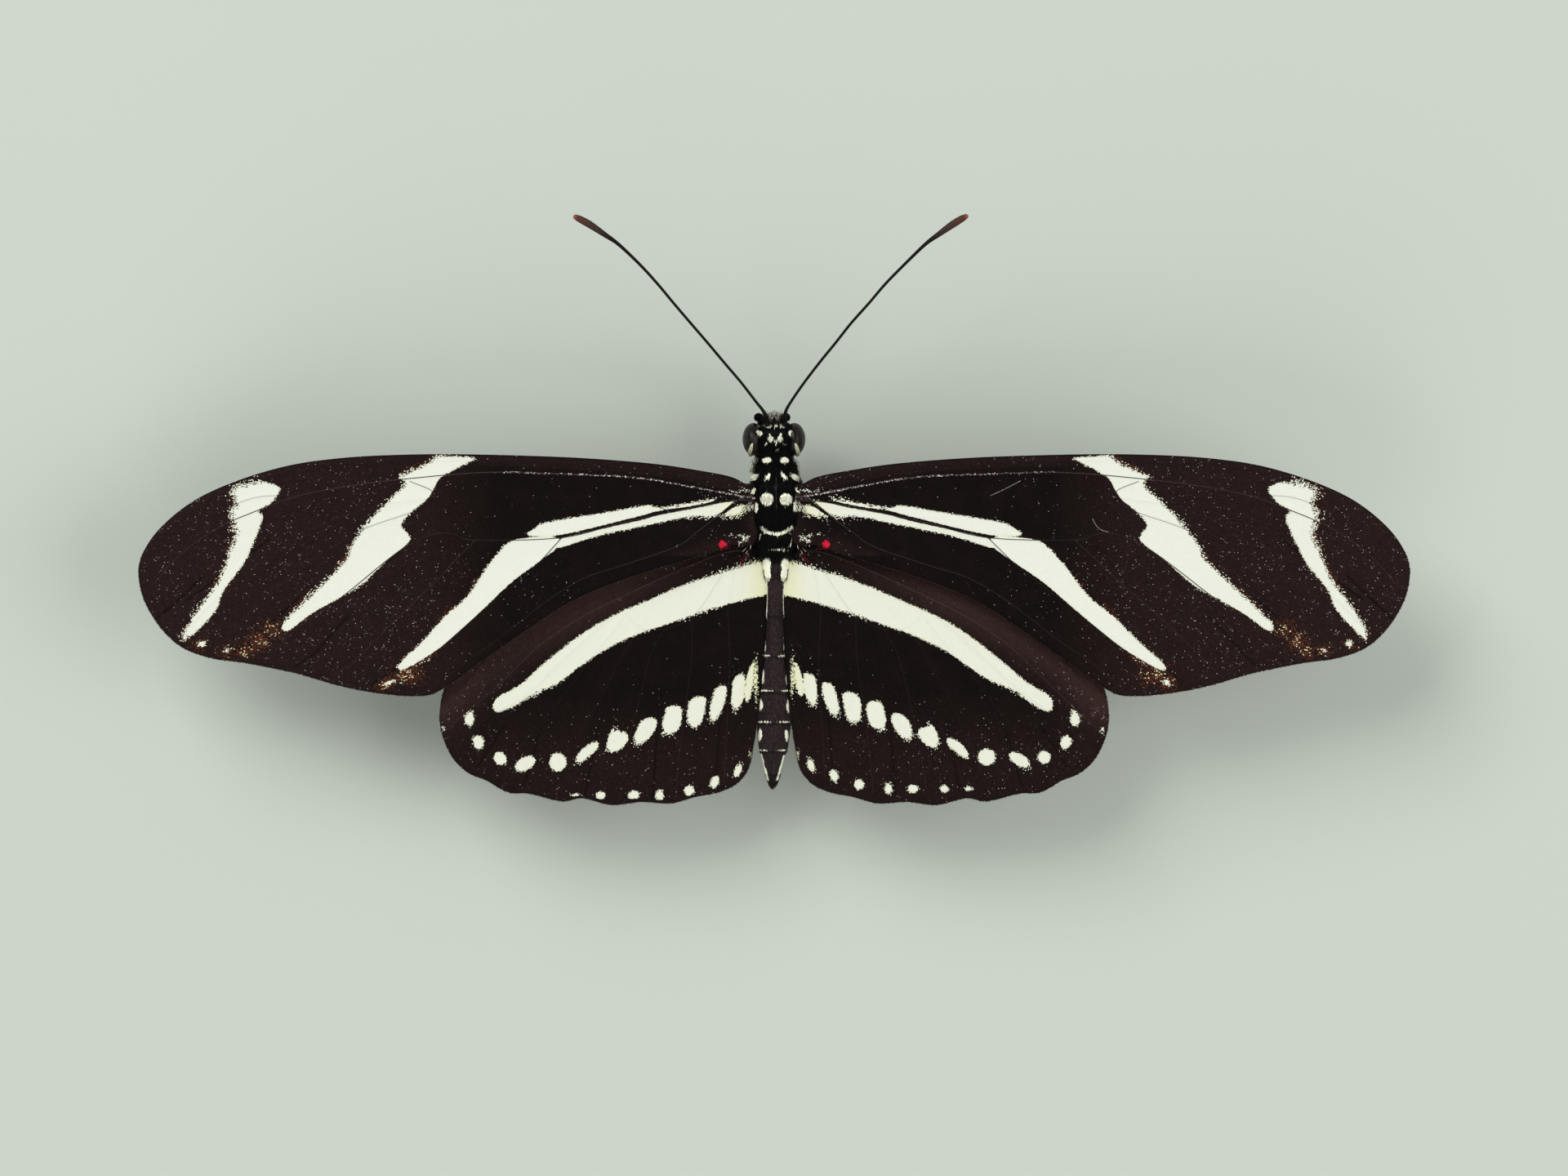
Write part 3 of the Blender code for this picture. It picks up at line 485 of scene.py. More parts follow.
def inside(ring, points):
    """True for each point inside the closed ring."""
    result = np.zeros(len(points), bool)
    x, y = points[:, 0], points[:, 1]
    for (x0, y0), (x1, y1) in zip(ring[:, :2], np.roll(ring[:, :2], -1, axis=0)):
        if y0 != y1:
            crosses = ((y0 > y) != (y1 > y)) & (x < (x1 - x0) * (y - y0) / (y1 - y0) + x0)
            result ^= crosses
    return result


def oval_depth(points, ovals):
    """Depth inside the nearest oval, negative outside, and near enough a distance at its edge."""
    depth = np.full(len(points), -FAR)
    for x, y, half_width, half_height, turn in ovals:
        c, s = math.cos(math.radians(turn)), math.sin(math.radians(turn))
        dx, dy = points[:, 0] - x, points[:, 1] - y
        along, across = c * dx + s * dy, c * dy - s * dx
        reach = np.hypot(along / half_width, across / half_height)
        depth = np.maximum(depth, (1 - reach) * min(half_width, half_height))
    return depth


def patches(points, spots):
    """How much of the spots x, y, reach, strength is felt at each point, 0 to 1."""
    total = np.zeros(len(points))
    for x, y, reach, strength in spots:
        gap = np.hypot(points[:, 0] - x, points[:, 1] - y) / reach
        total = np.maximum(total, strength * np.exp(-gap * gap))
    return total


def make_mesh(name, vertices, faces):
    """A mesh from points in millimetres and arrays of faces with three or four corners."""
    mesh = bpy.data.meshes.new(name)
    mesh.vertices.add(len(vertices))
    mesh.vertices.foreach_set("co", (np.asarray(vertices) * MM).astype(np.float32).ravel())
    corners = np.concatenate([np.asarray(f).ravel() for f in faces])
    sizes = np.concatenate([np.full(len(f), np.shape(f)[1]) for f in faces])
    mesh.loops.add(len(corners))
    mesh.loops.foreach_set("vertex_index", corners.astype(np.int32))
    mesh.polygons.add(len(sizes))
    starts = np.concatenate([[0], np.cumsum(sizes)[:-1]])
    mesh.polygons.foreach_set("loop_start", starts.astype(np.int32))
    mesh.update(calc_edges=True)
    mesh.validate()
    mesh.shade_smooth()
    return mesh


def add_values(mesh, values):
    """Stores numbers or vectors at the mesh's points, for the finishes to read."""
    for name, data in values.items():
        data = np.asarray(data, np.float32)
        kind, key = ("FLOAT_VECTOR", "vector") if data.ndim == 2 else ("FLOAT", "value")
        mesh.attributes.new(name, kind, "POINT").data.foreach_set(key, data.ravel())


def add_bake_map(mesh, corner_places):
    """The bake map, OFBake, with one place for each corner of each face."""
    layer = mesh.uv_layers.new(name="OFBake")
    layer.data.foreach_set("uv", np.asarray(corner_places, np.float32).ravel())


def corner_points(mesh):
    """The point number at each corner of each face."""
    found = np.empty(len(mesh.loops), np.int32)
    mesh.loops.foreach_get("vertex_index", found)
    return found


def add_piece(mesh, materials, replaced=()):
    """Puts a mesh into the scene, on the still body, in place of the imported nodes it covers."""
    for material in materials:
        mesh.materials.append(material)
    piece = bpy.data.objects.new(mesh.name, mesh)
    bpy.context.scene.collection.objects.link(piece)
    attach(piece, "root")
    if replaced:
        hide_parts(*replaced)


def wing_height(x, y):
    """Height of the forewing's middle surface."""
    arch = 1 - ((x - WING_ARCH_TOP) / WING_ARCH_TOP) ** 2
    return WING_ROOT_HEIGHT + WING_ARCH_RISE * arch + TAILWARD_FALL * y


def wing_layout(edge, veins, marked):
    """The flat layout of a wing: its rim, its veins, its other lines, and the points between."""
    rim = even_steps(smooth_curve(edge, closed=True), RIM_STEP)[:-1]
    closed_rim = np.vstack([rim, rim[:1]])
    lines = {
        name: even_steps(smooth_curve(points), VEIN_STEP) for name, (_, points) in veins.items()
    }
    cuts = [even_steps(smooth_curve(points), CUT_STEP) for points in marked]
    all_lines = list(lines.values()) + cuts
    points = [rim]
    edges = [(i, (i + 1) % len(rim)) for i in range(len(rim))]
    count = len(rim)
    shoulders = []
    for line in all_lines:
        kept = line[distance_to(closed_rim, line) > LINE_ROOM]
        if len(points) > 1:
            earlier = np.vstack(points[1:])
            clear = [np.linalg.norm(earlier - p, axis=1).min() > VEIN_JOIN for p in kept]
            kept = kept[clear]
        points.append(kept)
        edges += [(count + i, count + i + 1) for i in range(len(kept) - 1)]
        count += len(kept)
        along = np.gradient(line, axis=0)
        square = np.stack([-along[:, 1], along[:, 0]], axis=1)
        square /= np.linalg.norm(square, axis=1)[:, None]
        shoulders += [line + square * VEIN_RADIUS * turn for turn in SHOULDER_ROWS]
    low, high = rim.min(0), rim.max(0)
    columns = np.arange(low[0], high[0], FILL_STEP)
    fill = np.vstack([
        np.stack([columns + FILL_STEP / 2 * (r % 2), np.full(len(columns), y)], axis=1)
        for r, y in enumerate(np.arange(low[1], high[1], FILL_STEP * math.sqrt(0.75)))
    ])
    for extra, room in ((np.vstack(shoulders), SHOULDER_ROOM), (fill, FILL_ROOM)):
        extra = extra[inside(rim, extra)]
        extra = extra[distance_to(closed_rim, extra) > LINE_ROOM]
        gap = np.min([distance_to(line, extra) for line in all_lines], axis=0)
        points.append(extra[gap > VEIN_RADIUS * room])
    return rim, lines, cuts, np.vstack(points), edges


class WingCloth:
    """One wing's flat mesh with what its finish has to know at each point."""

    def __init__(self, kind):
        edge, veins, folds, marks, spots = WINGS[kind][:5]
        scratches = FOREWING_SCRATCHES if kind == "forewing" else []
        rim, lines, cuts, points, edges = wing_layout(edge, veins, scratches + folds)
        cuts, pleats = cuts[:len(scratches)], cuts[len(scratches):]
        flat, _, triangles, _, _, _ = delaunay_2d_cdt(
            [Vector(p) for p in points], edges, [list(range(len(rim)))], 1, JOIN_GAP
        )
        self.flat = np.array([tuple(p) for p in flat])
        self.triangles = np.array(triangles)
        self.closed_rim = np.vstack([rim, rim[:1]])
        gaps = np.array([distance_to(line, self.flat) for line in lines.values()])
        self.vein = gaps.min(0)
        tones = np.array([tone for tone, _ in veins.values()])
        outwards = 0.1 + 0.9 * np.exp(-(self.flat[:, 0] / VEIN_TONE_REACH) ** 2)
        self.vein_tone = tones[gaps.argmin(0)] * outwards
        crossings = np.array([CROSSINGS[kind].get(name, USUAL_CROSSING) for name in veins])
        self.crossing = crossings[gaps.argmin(0)]
        self.edge_gap = distance_to(self.closed_rim, self.flat)
        far = [np.full(len(self.flat), FAR)]
        self.scratch = np.min([distance_to(cut, self.flat) for cut in cuts] + far, axis=0)
        self.fold = np.min([distance_to(pleat, self.flat) for pleat in pleats], axis=0)
        self.pale, self.teeth = mark_depth(self.flat, marks, spots)

    def map_places(self, points):
        """Places on the wing's unwrap."""
        low, high = self.flat.min(0), self.flat.max(0)
        return (points - low) / (max(high - low) * MAP_MARGIN)


def mark_depth(flat, marks, spots):
    """Depth inside the pale markings, negative outside, and how ragged the nearest edge is."""
    depths = [np.full(len(flat), -FAR)]
    teeth = [np.full(len(flat), WORN)]
    for runs in marks.values():
        points = [(x, y, rough) for rough, *run in runs for x, y in run]
        ring = smooth_curve(points, 8, closed=True)
        gap, place = nearest_on(ring, flat)
        depths.append(np.where(inside(ring, flat), gap, -gap))
        teeth.append(np.interp(place, np.arange(len(ring)), ring[:, 2]))
    depths.append(oval_depth(flat, spots))
    teeth.append(teeth[0])
    best = np.argmax(depths, axis=0)
    rows = np.arange(len(flat))
    return np.array(depths)[best, rows], np.array(teeth)[best, rows]


SCALE_LENGTH = 0.075
SCALE_WIDTH = 0.05
# How much of a millimetre the edge of a mark takes inside one scale.
MARK_BLUR = 0.03
VEIN_LINE = 0.05
FLECK_LINE = 0.06
# Width of the painted shade along the folds.
FOLD_SHADE_WIDTH = 0.15
SCALE_HEIGHT = 0.02


def wing_finish(name, under):
    """Rows of tiny scales: dark ground, pale bands with ragged edges, worn and rust-brown scales."""
    colours = bpy.context.scene.longwing_colours
    relief = bpy.context.scene.longwing_wings.scale_relief
    ground = colours.under_ground if under else colours.ground
    pale_colour = colours.under_pale if under else colours.pale
    finish = Finish(name, {"Specular IOR Level": 0.04})
    weave = finish.attribute("weave", "Vector")
    rows = finish.stretch(weave, (1 / SCALE_LENGTH, 1 / SCALE_WIDTH, 0))
    cells, chance, shade, hue = finish.cells(rows)
    cloud = finish.noise(weave, 1.6)
    fine_cloud = finish.noise(weave, 0.45)

    # A few scales stray far over the edge of a mark.
    stray = (chance > 0.94) * 0.8
    jitter = (chance * 2.0 - 1.0 + stray) * finish.attribute("teeth")
    depth = finish.attribute("pale")
    pale = (depth + jitter).edge(MARK_BLUR)
    vein = finish.attribute("vein")
    line = 1.0 - vein.step(VEIN_LINE * 0.3, VEIN_LINE)

    # The dark ground, browner outwards, with painted shade along its folds, and its veins.
    outer = finish.attribute("outer")
    brown = (cloud.step(0.3, 0.75) * 0.2 + outer * 0.75) * (0.6 + shade * 0.5)
    dark = finish.mix(brown, ground, colours.brown_ground)
    sheen = finish.attribute("sheen")
    dark = finish.mix(sheen * (0.65 + fine_cloud * 0.5), dark, colours.sheen)
    # Painted shade: the ground is darkened along each fold line, standing in for the shadow in the
    # fold's dent.
    fold = 1.0 - finish.attribute("fold").step(0.0, FOLD_SHADE_WIDTH)
    dark = finish.mix(fold * 0.8, dark, colours.ground)
    vein_tone = finish.attribute("vein_tone")
    fleck = (hue > 1.0 - vein_tone * 0.45) * (vein_tone > 0.3) * (vein < FLECK_LINE)
    dark = finish.mix(line * vein_tone * (0.35 - vein_tone * 0.3), dark, colours.vein)
    dark = finish.mix(fleck * (0.2 + shade * 0.8), dark, colours.worn)
    dark = finish.shaded(dark, 0.75 + shade * 0.5)

    # Worn specks, scratches, and rust-brown and scorched scales about the band ends.
    open_ground = outer * fine_cloud.step(0.38, 0.66) * 0.024
    wear = finish.attribute("wear")
    worn = chance > 0.9985 - open_ground - wear * fine_cloud.step(0.42, 0.64) * 0.1
    dot = 1.0 - cells["Distance"].step(0.22, 0.45)
    glint = (shade * shade * shade * hue * 3.8 + 0.07).clamped()
    dark = finish.mix(worn * dot * glint, dark, colours.worn)
    scratch = 1.0 - finish.attribute("scratch").step(0.005, 0.03)
    dark = finish.mix(scratch * (0.15 + shade * 0.4), dark, colours.worn)
    rust = finish.attribute("rust") * depth.step(-0.45, -0.02)
    dark = finish.mix((hue > 1.0 - rust * 0.8) * (0.35 + shade * 0.5), dark, colours.rust)
    dark = finish.mix(shade > 1.0 - rust * rust * 0.25, dark, pale_colour)
    scorch = finish.attribute("scorch")
    dark = finish.mix((hue > 1.0 - scorch * 0.85) * (0.3 + shade * 0.6), dark, colours.rust)
    dark = finish.mix(chance > 1.0 - scorch * scorch * 0.22, dark, colours.warm_pale)

    # The pale bands, warmer beside the body, with fine veins across them.
    rim = 1.0 - depth.step(0.02, 0.2)
    warm = (finish.attribute("warm") + rim * hue * 0.5).clamped()
    cream = finish.mix(warm, pale_colour, colours.warm_pale)
    cream = finish.shaded(cream, 0.96 + shade * 0.05)
    cream = finish.mix(line * finish.attribute("crossing"), cream, colours.ground)
    colour = finish.mix(pale, dark, cream)

    red = (finish.attribute("under_crimson" if under else "crimson") + jitter).edge(MARK_BLUR)
    crimson = finish.mix(hue * hue * 0.6, colours.crimson, colours.ground)
    finish.feed("Base Color", finish.mix(red, colour, crimson))
    finish.feed("Roughness", 0.55 + shade * 0.2 + pale * 0.12 - sheen * 0.12)

    # Each scale is a low dome that rises towards its free end.
    settings = {"operation": "SUBTRACT"}
    offset = finish.node("VectorMath", settings, {0: rows, 1: cells["Position"]})["Vector"]
    lean = finish.node("SeparateXYZ", {}, {"Vector": offset})["X"]
    dome = cells["Distance"]
    height = lean * 0.6 - dome * dome * 0.5 + shade * 0.25
    finish.feed("Normal", finish.bump(height, relief, SCALE_HEIGHT * MM))
    return finish.material


# How far from its rim the left wing's inside starts to differ from the right wing's.
RIM_FADE = {"forewing": 1.5, "hindwing": 0.6}


def left_places(cloth, kind):
    """The left wing's points, mirrored: inside its rim it differs a little from the right wing."""
    x, y = cloth.flat.T
    inner = np.clip(cloth.edge_gap / RIM_FADE[kind], 0, 1)
    if kind == "forewing":
        inward = np.clip(0.234 - 0.005 * x, 0, 0.11) * np.clip(-1 - y, 0, None)
        return np.stack([x - inward * inner, y], axis=1)
    tailward = np.clip((-10.5 - y) / 1.5, 0, 1) * np.clip((18.5 - x) / 3, 0, 1)
    outward = np.clip((x - 7) / 5, 0, 1) * np.clip((-12 - y) / 1.5, 0, 1)
    reach = 0.3 + 0.12 * np.clip(-16 - y, 0, 1)
    return np.stack([x + 0.27 * outward * inner, y - reach * tailward * inner], axis=1)


def wing_brown(cloth, kind):
    """Where the black ground turns browner: outwards, and along the front or the hind margin."""
    x, y = cloth.flat.T
    outwards = np.clip((x - 18.5) / 5, 0, 1)
    if kind == "forewing":
        return np.maximum(outwards, np.exp(-((cloth.edge_gap - 0.3) / 0.5) ** 2) * (y > -3))
    return np.maximum(outwards, np.clip((-12 - y) / 5, 0, 0.8))


def wing_warmth(flat, kind):
    """Yellowness of the pale bands near the body."""
    if kind == "forewing":
        at_root = np.exp(-np.maximum(flat[:, 0] - 1.0, 0) / 1.6)
        return at_root * (np.abs(flat[:, 1] - 0.1) < 0.9)
    beside_body = np.exp(-np.maximum(flat[:, 0] - 1.2, 0) / 0.6)
    return 0.12 + 0.55 * beside_body


# The forewing's hind edge where it lies over the hindwing, and the width of the satin zone along it.
SATIN_EDGE = [(3.3, -2.4), (9.8, -4.6), (16.5, -8.1), (19.7, -10.3), (21.9, -12.6)]
SATIN_WIDTH = 1.7


def wing_sheen(flat, kind):
    """The satin brown zone of the hindwing along the forewing's edge, and paler ground outwards."""
    if kind == "forewing":
        return 0.12 * np.clip((flat[:, 0] - 18) / 20, 0, 1)
    fade = np.exp(-(distance_to(smooth_curve(SATIN_EDGE), flat) / SATIN_WIDTH) ** 2)
    return fade * np.clip((flat[:, 0] - 2.5) / 8, 0.15, 1) * 0.85


# How dark each vein's line is where it crosses a pale band.
CROSSINGS = {
    "forewing": {
        "costa": 0.03, "subcosta": 0.03, "radius": 0.95, "radius_4": 0.4, "cell_end": 0.7,
        "media_1": 0.06, "media_2": 0.5, "media_3": 0.95, "cubitus": 0.9, "cubitus_1": 0.3,
        "cubitus_2": 0.9, "anal": 0.9,
    },
    "hindwing": {
        "cubitus": 0.16, "cell_end": 0.03, "cubitus_1": 0.05, "cubitus_2": 0.04, "anal": 0.05,
        "radius": 0.08, "media_1": 0.07, "media_2": 0.03, "media_3": 0.03,
    },
}
USUAL_CROSSING = 0.2
# How far out the pale vein lines reach on the dark ground.
VEIN_TONE_REACH = 17
# The rows of scales of each wing turn by this angle, and differ from side to side and face to face.
WEAVE_ANGLE = {"forewing": -0.3, "hindwing": -0.95}
LEFT_WEAVE = (37.0, 11.0, 0.0)
UNDER_WEAVE = 90.0
MAP_MARGIN = 1.02

# What each wing is made from, and how far it lies under the forewing's level.
WINGS = {
    "forewing": (FOREWING_EDGE, FOREWING_VEINS, FOREWING_FOLDS, FOREWING_MARKS, FOREWING_SPOTS,
                 FOREWING_WEAR, FOREWING_RUST, FOREWING_SCORCH, 0.0),
    "hindwing": (HINDWING_EDGE, HINDWING_VEINS, HINDWING_FOLDS, HINDWING_MARKS, HINDWING_SPOTS,
                 HINDWING_WEAR, [], [], HINDWING_DROP),
}


def make_wing(kind, side, cloth, finishes):
    """A thin wing with veins as ridges, troughs of membrane between them, and soft folds."""
    wear, rust, scorch, drop = WINGS[kind][5:]
    flat = cloth.flat
    right = side == "right"
    placed = flat if right else left_places(cloth, kind)
    ridge = VEIN_RISE * np.exp(-(cloth.vein / VEIN_RADIUS) ** 2)
    inner = np.clip(cloth.edge_gap / RIM_TAPER, 0, 1)
    half = HALF_RIM + (HALF_MEMBRANE - HALF_RIM) * np.sqrt(inner) + ridge * inner
    trough = TROUGH_DEPTH * (1 - np.clip(cloth.vein / TROUGH_REACH, 0, 1) ** 2)
    pleat = FOLD_DEPTH * np.exp(-(cloth.fold / FOLD_WIDTH) ** 2)
    middle = wing_height(placed[:, 0], placed[:, 1]) - drop + (trough - pleat) * inner
    faces = [
        np.stack([placed[:, 0] * SIDES[side], placed[:, 1], middle + face * half], axis=1)
        for face in (1, -1)
    ]
    count = len(flat)
    turned = cloth.triangles[:, ::-1]
    upper, lower = (cloth.triangles, turned + count) if right else (turned, cloth.triangles + count)
    directed = np.vstack([upper[:, [0, 1]], upper[:, [1, 2]], upper[:, [2, 0]]])
    codes = directed[:, 0] * count + directed[:, 1]
    back_codes = directed[:, 1] * count + directed[:, 0]
    border = directed[~np.isin(codes, back_codes)]
    walls = np.stack([border[:, 1], border[:, 0], border[:, 0] + count, border[:, 1] + count], axis=1)
    mesh = make_mesh(f"{kind}_{side}_scales", np.vstack(faces), [upper, lower, walls])
    indices = np.zeros(len(mesh.polygons), np.int32)
    indices[len(upper):len(upper) + len(lower)] = 1
    mesh.polygons.foreach_set("material_index", indices)

    # The fold distance also places the painted shade along the folds in the finish.
    facts = {
        "pale": cloth.pale, "teeth": cloth.teeth, "vein": cloth.vein, "vein_tone": cloth.vein_tone,
        "crossing": cloth.crossing, "fold": cloth.fold,
        "scratch": cloth.scratch if right else cloth.scratch + FAR,
        "wear": patches(flat, wear), "rust": patches(flat, rust), "scorch": patches(flat, scorch),
        "sheen": wing_sheen(flat, kind), "warm": wing_warmth(flat, kind),
        "outer": wing_brown(cloth, kind), "crimson": oval_depth(flat, CRIMSON_SPOTS[kind]),
        "under_crimson": oval_depth(flat, UNDER_CRIMSON[kind]),
    }
    doubled = {name: np.concatenate([data, data]) for name, data in facts.items()}
    weave = wing_weave(placed, kind)
    shift = np.zeros(3) if right else np.array(LEFT_WEAVE)
    doubled["weave"] = np.vstack([weave + shift, weave + shift + UNDER_WEAVE])
    add_values(mesh, doubled)

    place = cloth.map_places(flat)
    shares = np.vstack([place, place + [0, 0.5]])
    add_bake_map(mesh, shares[corner_points(mesh)])
    add_piece(mesh, finishes, [f"{kind}_{side}"])


def wing_weave(flat, kind):
    """Coordinates along and across the rows of scales, in millimetres."""
    c, s = math.cos(WEAVE_ANGLE[kind]), math.sin(WEAVE_ANGLE[kind])
    along = flat[:, 0] * c + flat[:, 1] * s
    across = -flat[:, 0] * s + flat[:, 1] * c
    return np.stack([along, across, np.zeros(len(flat))], axis=1)


# Body stations from front to back: y, height of the middle, half width, half height of the skin.
SKIN = [
    (5.96, 6.86, 0.12, 0.16), (5.88, 6.88, 0.5, 0.6), (5.65, 6.92, 0.92, 0.98),
    (5.25, 6.96, 1.17, 1.22), (4.8, 6.97, 1.27, 1.32), (4.4, 6.95, 1.25, 1.28),
    (4.05, 6.92, 1.16, 1.14), (3.8, 6.9, 1.06, 1.02), (3.57, 6.88, 1.04, 0.98),
    (3.38, 6.86, 1.12, 1.06), (3.1, 6.85, 1.32, 1.28), (2.5, 6.85, 1.46, 1.52), (2.05, 6.8, 1.6, 1.71),
    (1.87, 6.78, 1.6, 1.74), (1.65, 6.75, 1.66, 1.83), (1.3, 6.72, 1.78, 1.99), (0.7, 6.7, 1.91, 2.14),
    (-0.2, 6.66, 1.97, 2.2), (-1.0, 6.6, 1.91, 2.1), (-1.5, 6.55, 1.8, 1.9), (-2.3, 6.5, 1.6, 1.68),
    (-2.9, 6.48, 1.38, 1.48), (-3.35, 6.45, 1.04, 1.18), (-3.5, 6.43, 0.95, 1.1),
    (-3.65, 6.42, 0.95, 1.1), (-4.3, 6.4, 0.88, 1.12), (-5.4, 6.34, 0.67, 0.98),
    (-7.3, 6.25, 0.67, 0.98), (-9.5, 6.12, 0.76, 1.02), (-11.0, 6.02, 0.92, 1.08),
    (-12.2, 5.94, 1.07, 1.14), (-13.4, 5.85, 1.17, 1.18), (-14.6, 5.76, 1.12, 1.1),
    (-15.9, 5.65, 0.92, 0.92), (-17.2, 5.55, 0.57, 0.6), (-18.0, 5.48, 0.33, 0.35),
    (-18.3, 5.46, 0.12, 0.14),
]
SKIN_ROWS = smooth_curve(SKIN)[::-1]
SKIN_STEP = 0.1
SKIN_SIDES = 96
SECTION_POWER = 2.2
HEAD_POWER = 3.1
# The abdomen's rings widen towards their ends and step in behind them.
RING_ENDS = (-4.5, -6.95, -9.65, -12.0, -14.1, -15.95, -17.5)
RING_FLARE = 0.06
RING_STEP = 0.012
# How far the body's middle lies to the right of the wings' middle, by y.
MIDDLE_LINE = [
    (-18.4, -0.11), (-15.0, -0.05), (-13.0, 0.0), (-8.5, 0.03), (-4.0, 0.11), (0.0, 0.13), (4.5, 0.1),
    (6.2, 0.12),
]
HEAD_SHIFT = 0.1

# Cream marks seen from above, on the head, thorax and abdomen: x, y, half width, half height, turn.
BACK_MARKS = [
    (-0.85, 5.7, 0.1, 0.13, 0), (-0.38, 5.6, 0.24, 0.15, 0), (0.14, 5.6, 0.1, 0.12, 0),
    (0.54, 5.6, 0.2, 0.15, 0), (-0.94, 5.08, 0.15, 0.22, -8), (1.07, 5.08, 0.14, 0.22, 8),
    (-0.24, 4.72, 0.2, 0.22, 0), (-0.3, 4.95, 0.08, 0.14, 0),
    (0.38, 4.73, 0.2, 0.2, 0), (0.44, 4.95, 0.08, 0.16, -10), (-0.54, 4.4, 0.12, 0.05, 30),
    (0.07, 4.44, 0.05, 0.13, 0), (0.67, 4.41, 0.12, 0.05, -30), (0.19, 3.99, 0.05, 0.12, -40),
    (-0.5, 3.32, 0.32, 0.2, 10), (0.68, 3.32, 0.28, 0.22, -10),
    (-1.36, 2.19, 0.38, 0.17, 25), (1.43, 2.2, 0.4, 0.17, -25),
    (-0.43, 2.22, 0.14, 0.28, -35), (0.63, 2.26, 0.14, 0.28, 35),
    (-1.4, 1.25, 0.12, 0.28, -30), (1.58, 1.27, 0.12, 0.28, 30),
    (-1.9, 1.3, 0.24, 0.09, 0), (2.0, 1.33, 0.24, 0.09, 0),
    (-0.49, 0.73, 0.45, 0.45, 0), (0.77, 0.73, 0.43, 0.43, 0),
    (-1.2, 0.2, 0.15, 0.38, 0), (1.38, 0.24, 0.13, 0.38, 0),
    (0.16, -2.6, 0.57, 0.065, 0), (-0.02, -1.5, 0.6, 0.08, 0), (0.35, -1.5, 0.5, 0.07, 0),
    (-0.52, -3.55, 0.3, 0.42, 0), (-0.45, -4.15, 0.22, 0.5, 8), (0.74, -3.55, 0.28, 0.42, 0),
    (0.66, -4.15, 0.22, 0.5, -8),
    (-0.54, -5.8, 0.09, 1.25, 0), (0.67, -5.8, 0.09, 1.25, 0),
    (-0.69, -8.45, 0.1, 0.9, 3), (0.745, -8.35, 0.1, 0.8, -3),
    (-0.53, -9.62, 0.27, 0.05, 0), (0.59, -9.62, 0.27, 0.05, 0),
    (-0.81, -10.87, 0.14, 0.53, 4), (0.895, -10.94, 0.13, 0.5, -4),
    (-0.67, -11.93, 0.45, 0.05, 0), (0.77, -11.93, 0.32, 0.05, 0),
    (-0.93, -12.86, 0.16, 0.37, 2), (0.94, -12.95, 0.13, 0.4, -2),
    (-0.76, -14.0, 0.4, 0.05, 0), (0.7, -14.0, 0.36, 0.05, 0),
    (-0.95, -14.87, 0.14, 0.4, -4), (0.82, -14.9, 0.13, 0.38, 6),
    (-0.79, -15.9, 0.26, 0.05, 0), (0.55, -15.9, 0.28, 0.05, 0),
]
# Narrow cream bands along curves on the back: half thickness, then the points.
BACK_BANDS = [
    (0.11, [(-0.85, -1.14), (-0.5, -1.38), (0.14, -1.56), (0.75, -1.38), (1.12, -1.12)]),
    (0.03, [(-0.91, -1.6), (-0.97, -1.9)]), (0.035, [(1.14, -1.5), (1.14, -2.1), (0.92, -2.45)]),
    (0.07, [(-0.87, -16.2), (-0.68, -17.0), (-0.42, -17.85)]),
    (0.07, [(0.65, -16.26), (0.45, -17.0), (0.2, -17.85)]),
]
# Marks of the sides and belly: y, degrees over the level of the middle, half length, half height in
# degrees. They are the same on both sides.
SIDE_MARKS = [
    (2.75, -12, 0.32, 13), (2.3, -48, 0.3, 10), (1.0, -22, 0.42, 10), (0.5, -50, 0.5, 9),
    (-0.6, -18, 0.4, 9), (-1.3, -46, 0.42, 10), (-2.3, -14, 0.35, 10), (4.5, -52, 0.45, 14),
    (-10.8, -12, 7.0, 6), (-10.6, -64, 6.6, 9),
]
MIDLINE_GROOVE = [(0.14, 2.1), (0.14, 1.5), (0.14, 0.1)]
GROOVE_WIDTH = 0.035

# Coats, each with where it starts and ends, its row spacing and spacing across, blade length and
# width, and how far the blades stand up in degrees.
COATS = {
    "head": (5.93, 3.5, 0.1, 0.06, 0.3, 0.06, 24),
    "thorax": (3.5, -3.55, 0.12, 0.07, 0.4, 0.075, 11),
    "abdomen": (-3.5, -18.28, 0.12, 0.065, 0.27, 0.085, 7),
}
# Longer hair: from y, to y, lowest and highest angle in degrees, how many, length, lift, and how
# brown it is.
HAIRS = {
    "head": [(5.95, 5.75, 10, 170, 260, 0.55, 20, 0.9), (5.6, 5.0, 20, 160, 260, 0.42, 34, 0.2),
             (5.0, 3.7, 15, 165, 260, 0.4, 38, 0.0), (5.8, 3.8, 190, 350, 420, 0.5, 30, 0.5)],
    "thorax": [(3.75, 3.0, 0, 360, 620, 0.42, 50, 0.1), (3.2, 2.0, -20, 200, 420, 0.5, 30, 0.1),
               (2.0, -3.2, 0, 180, 900, 0.6, 14, 0.0), (3.2, -3.3, 185, 355, 1700, 0.8, 26, 0.5)],
    "abdomen": [(-3.6, -5.2, 180, 360, 260, 0.5, 16, 1.0),
                (-17.3, -18.2, 0, 360, 260, 0.5, 14, 0.6)],
}
HAIR_WIDTH = 0.03
# Scales in a mark lie flatter and are wider. A scale takes its mark from this share along it.
MARK_LIFT = 0.2
MARK_WIDTH = 1.4
MARK_SHARE = 0.6
# The largest random turn to the side.
SWAY = 0.16
# The thickness of a blade as a share of its width, the most that it is, how deep its root lies under
# the skin, and how much of its lift is gone at its end.
BLADE_SHARE = 0.3
BLADE_THICKNESS = 0.02
BLADE_DEPTH = 0.015
BLADE_CURL = 0.6
# Seeds of the random numbers of each piece.
SEEDS = {"wing root": 31, "eye rim": 5, "palp": 17, "feeler": 11, "fringe": 23}
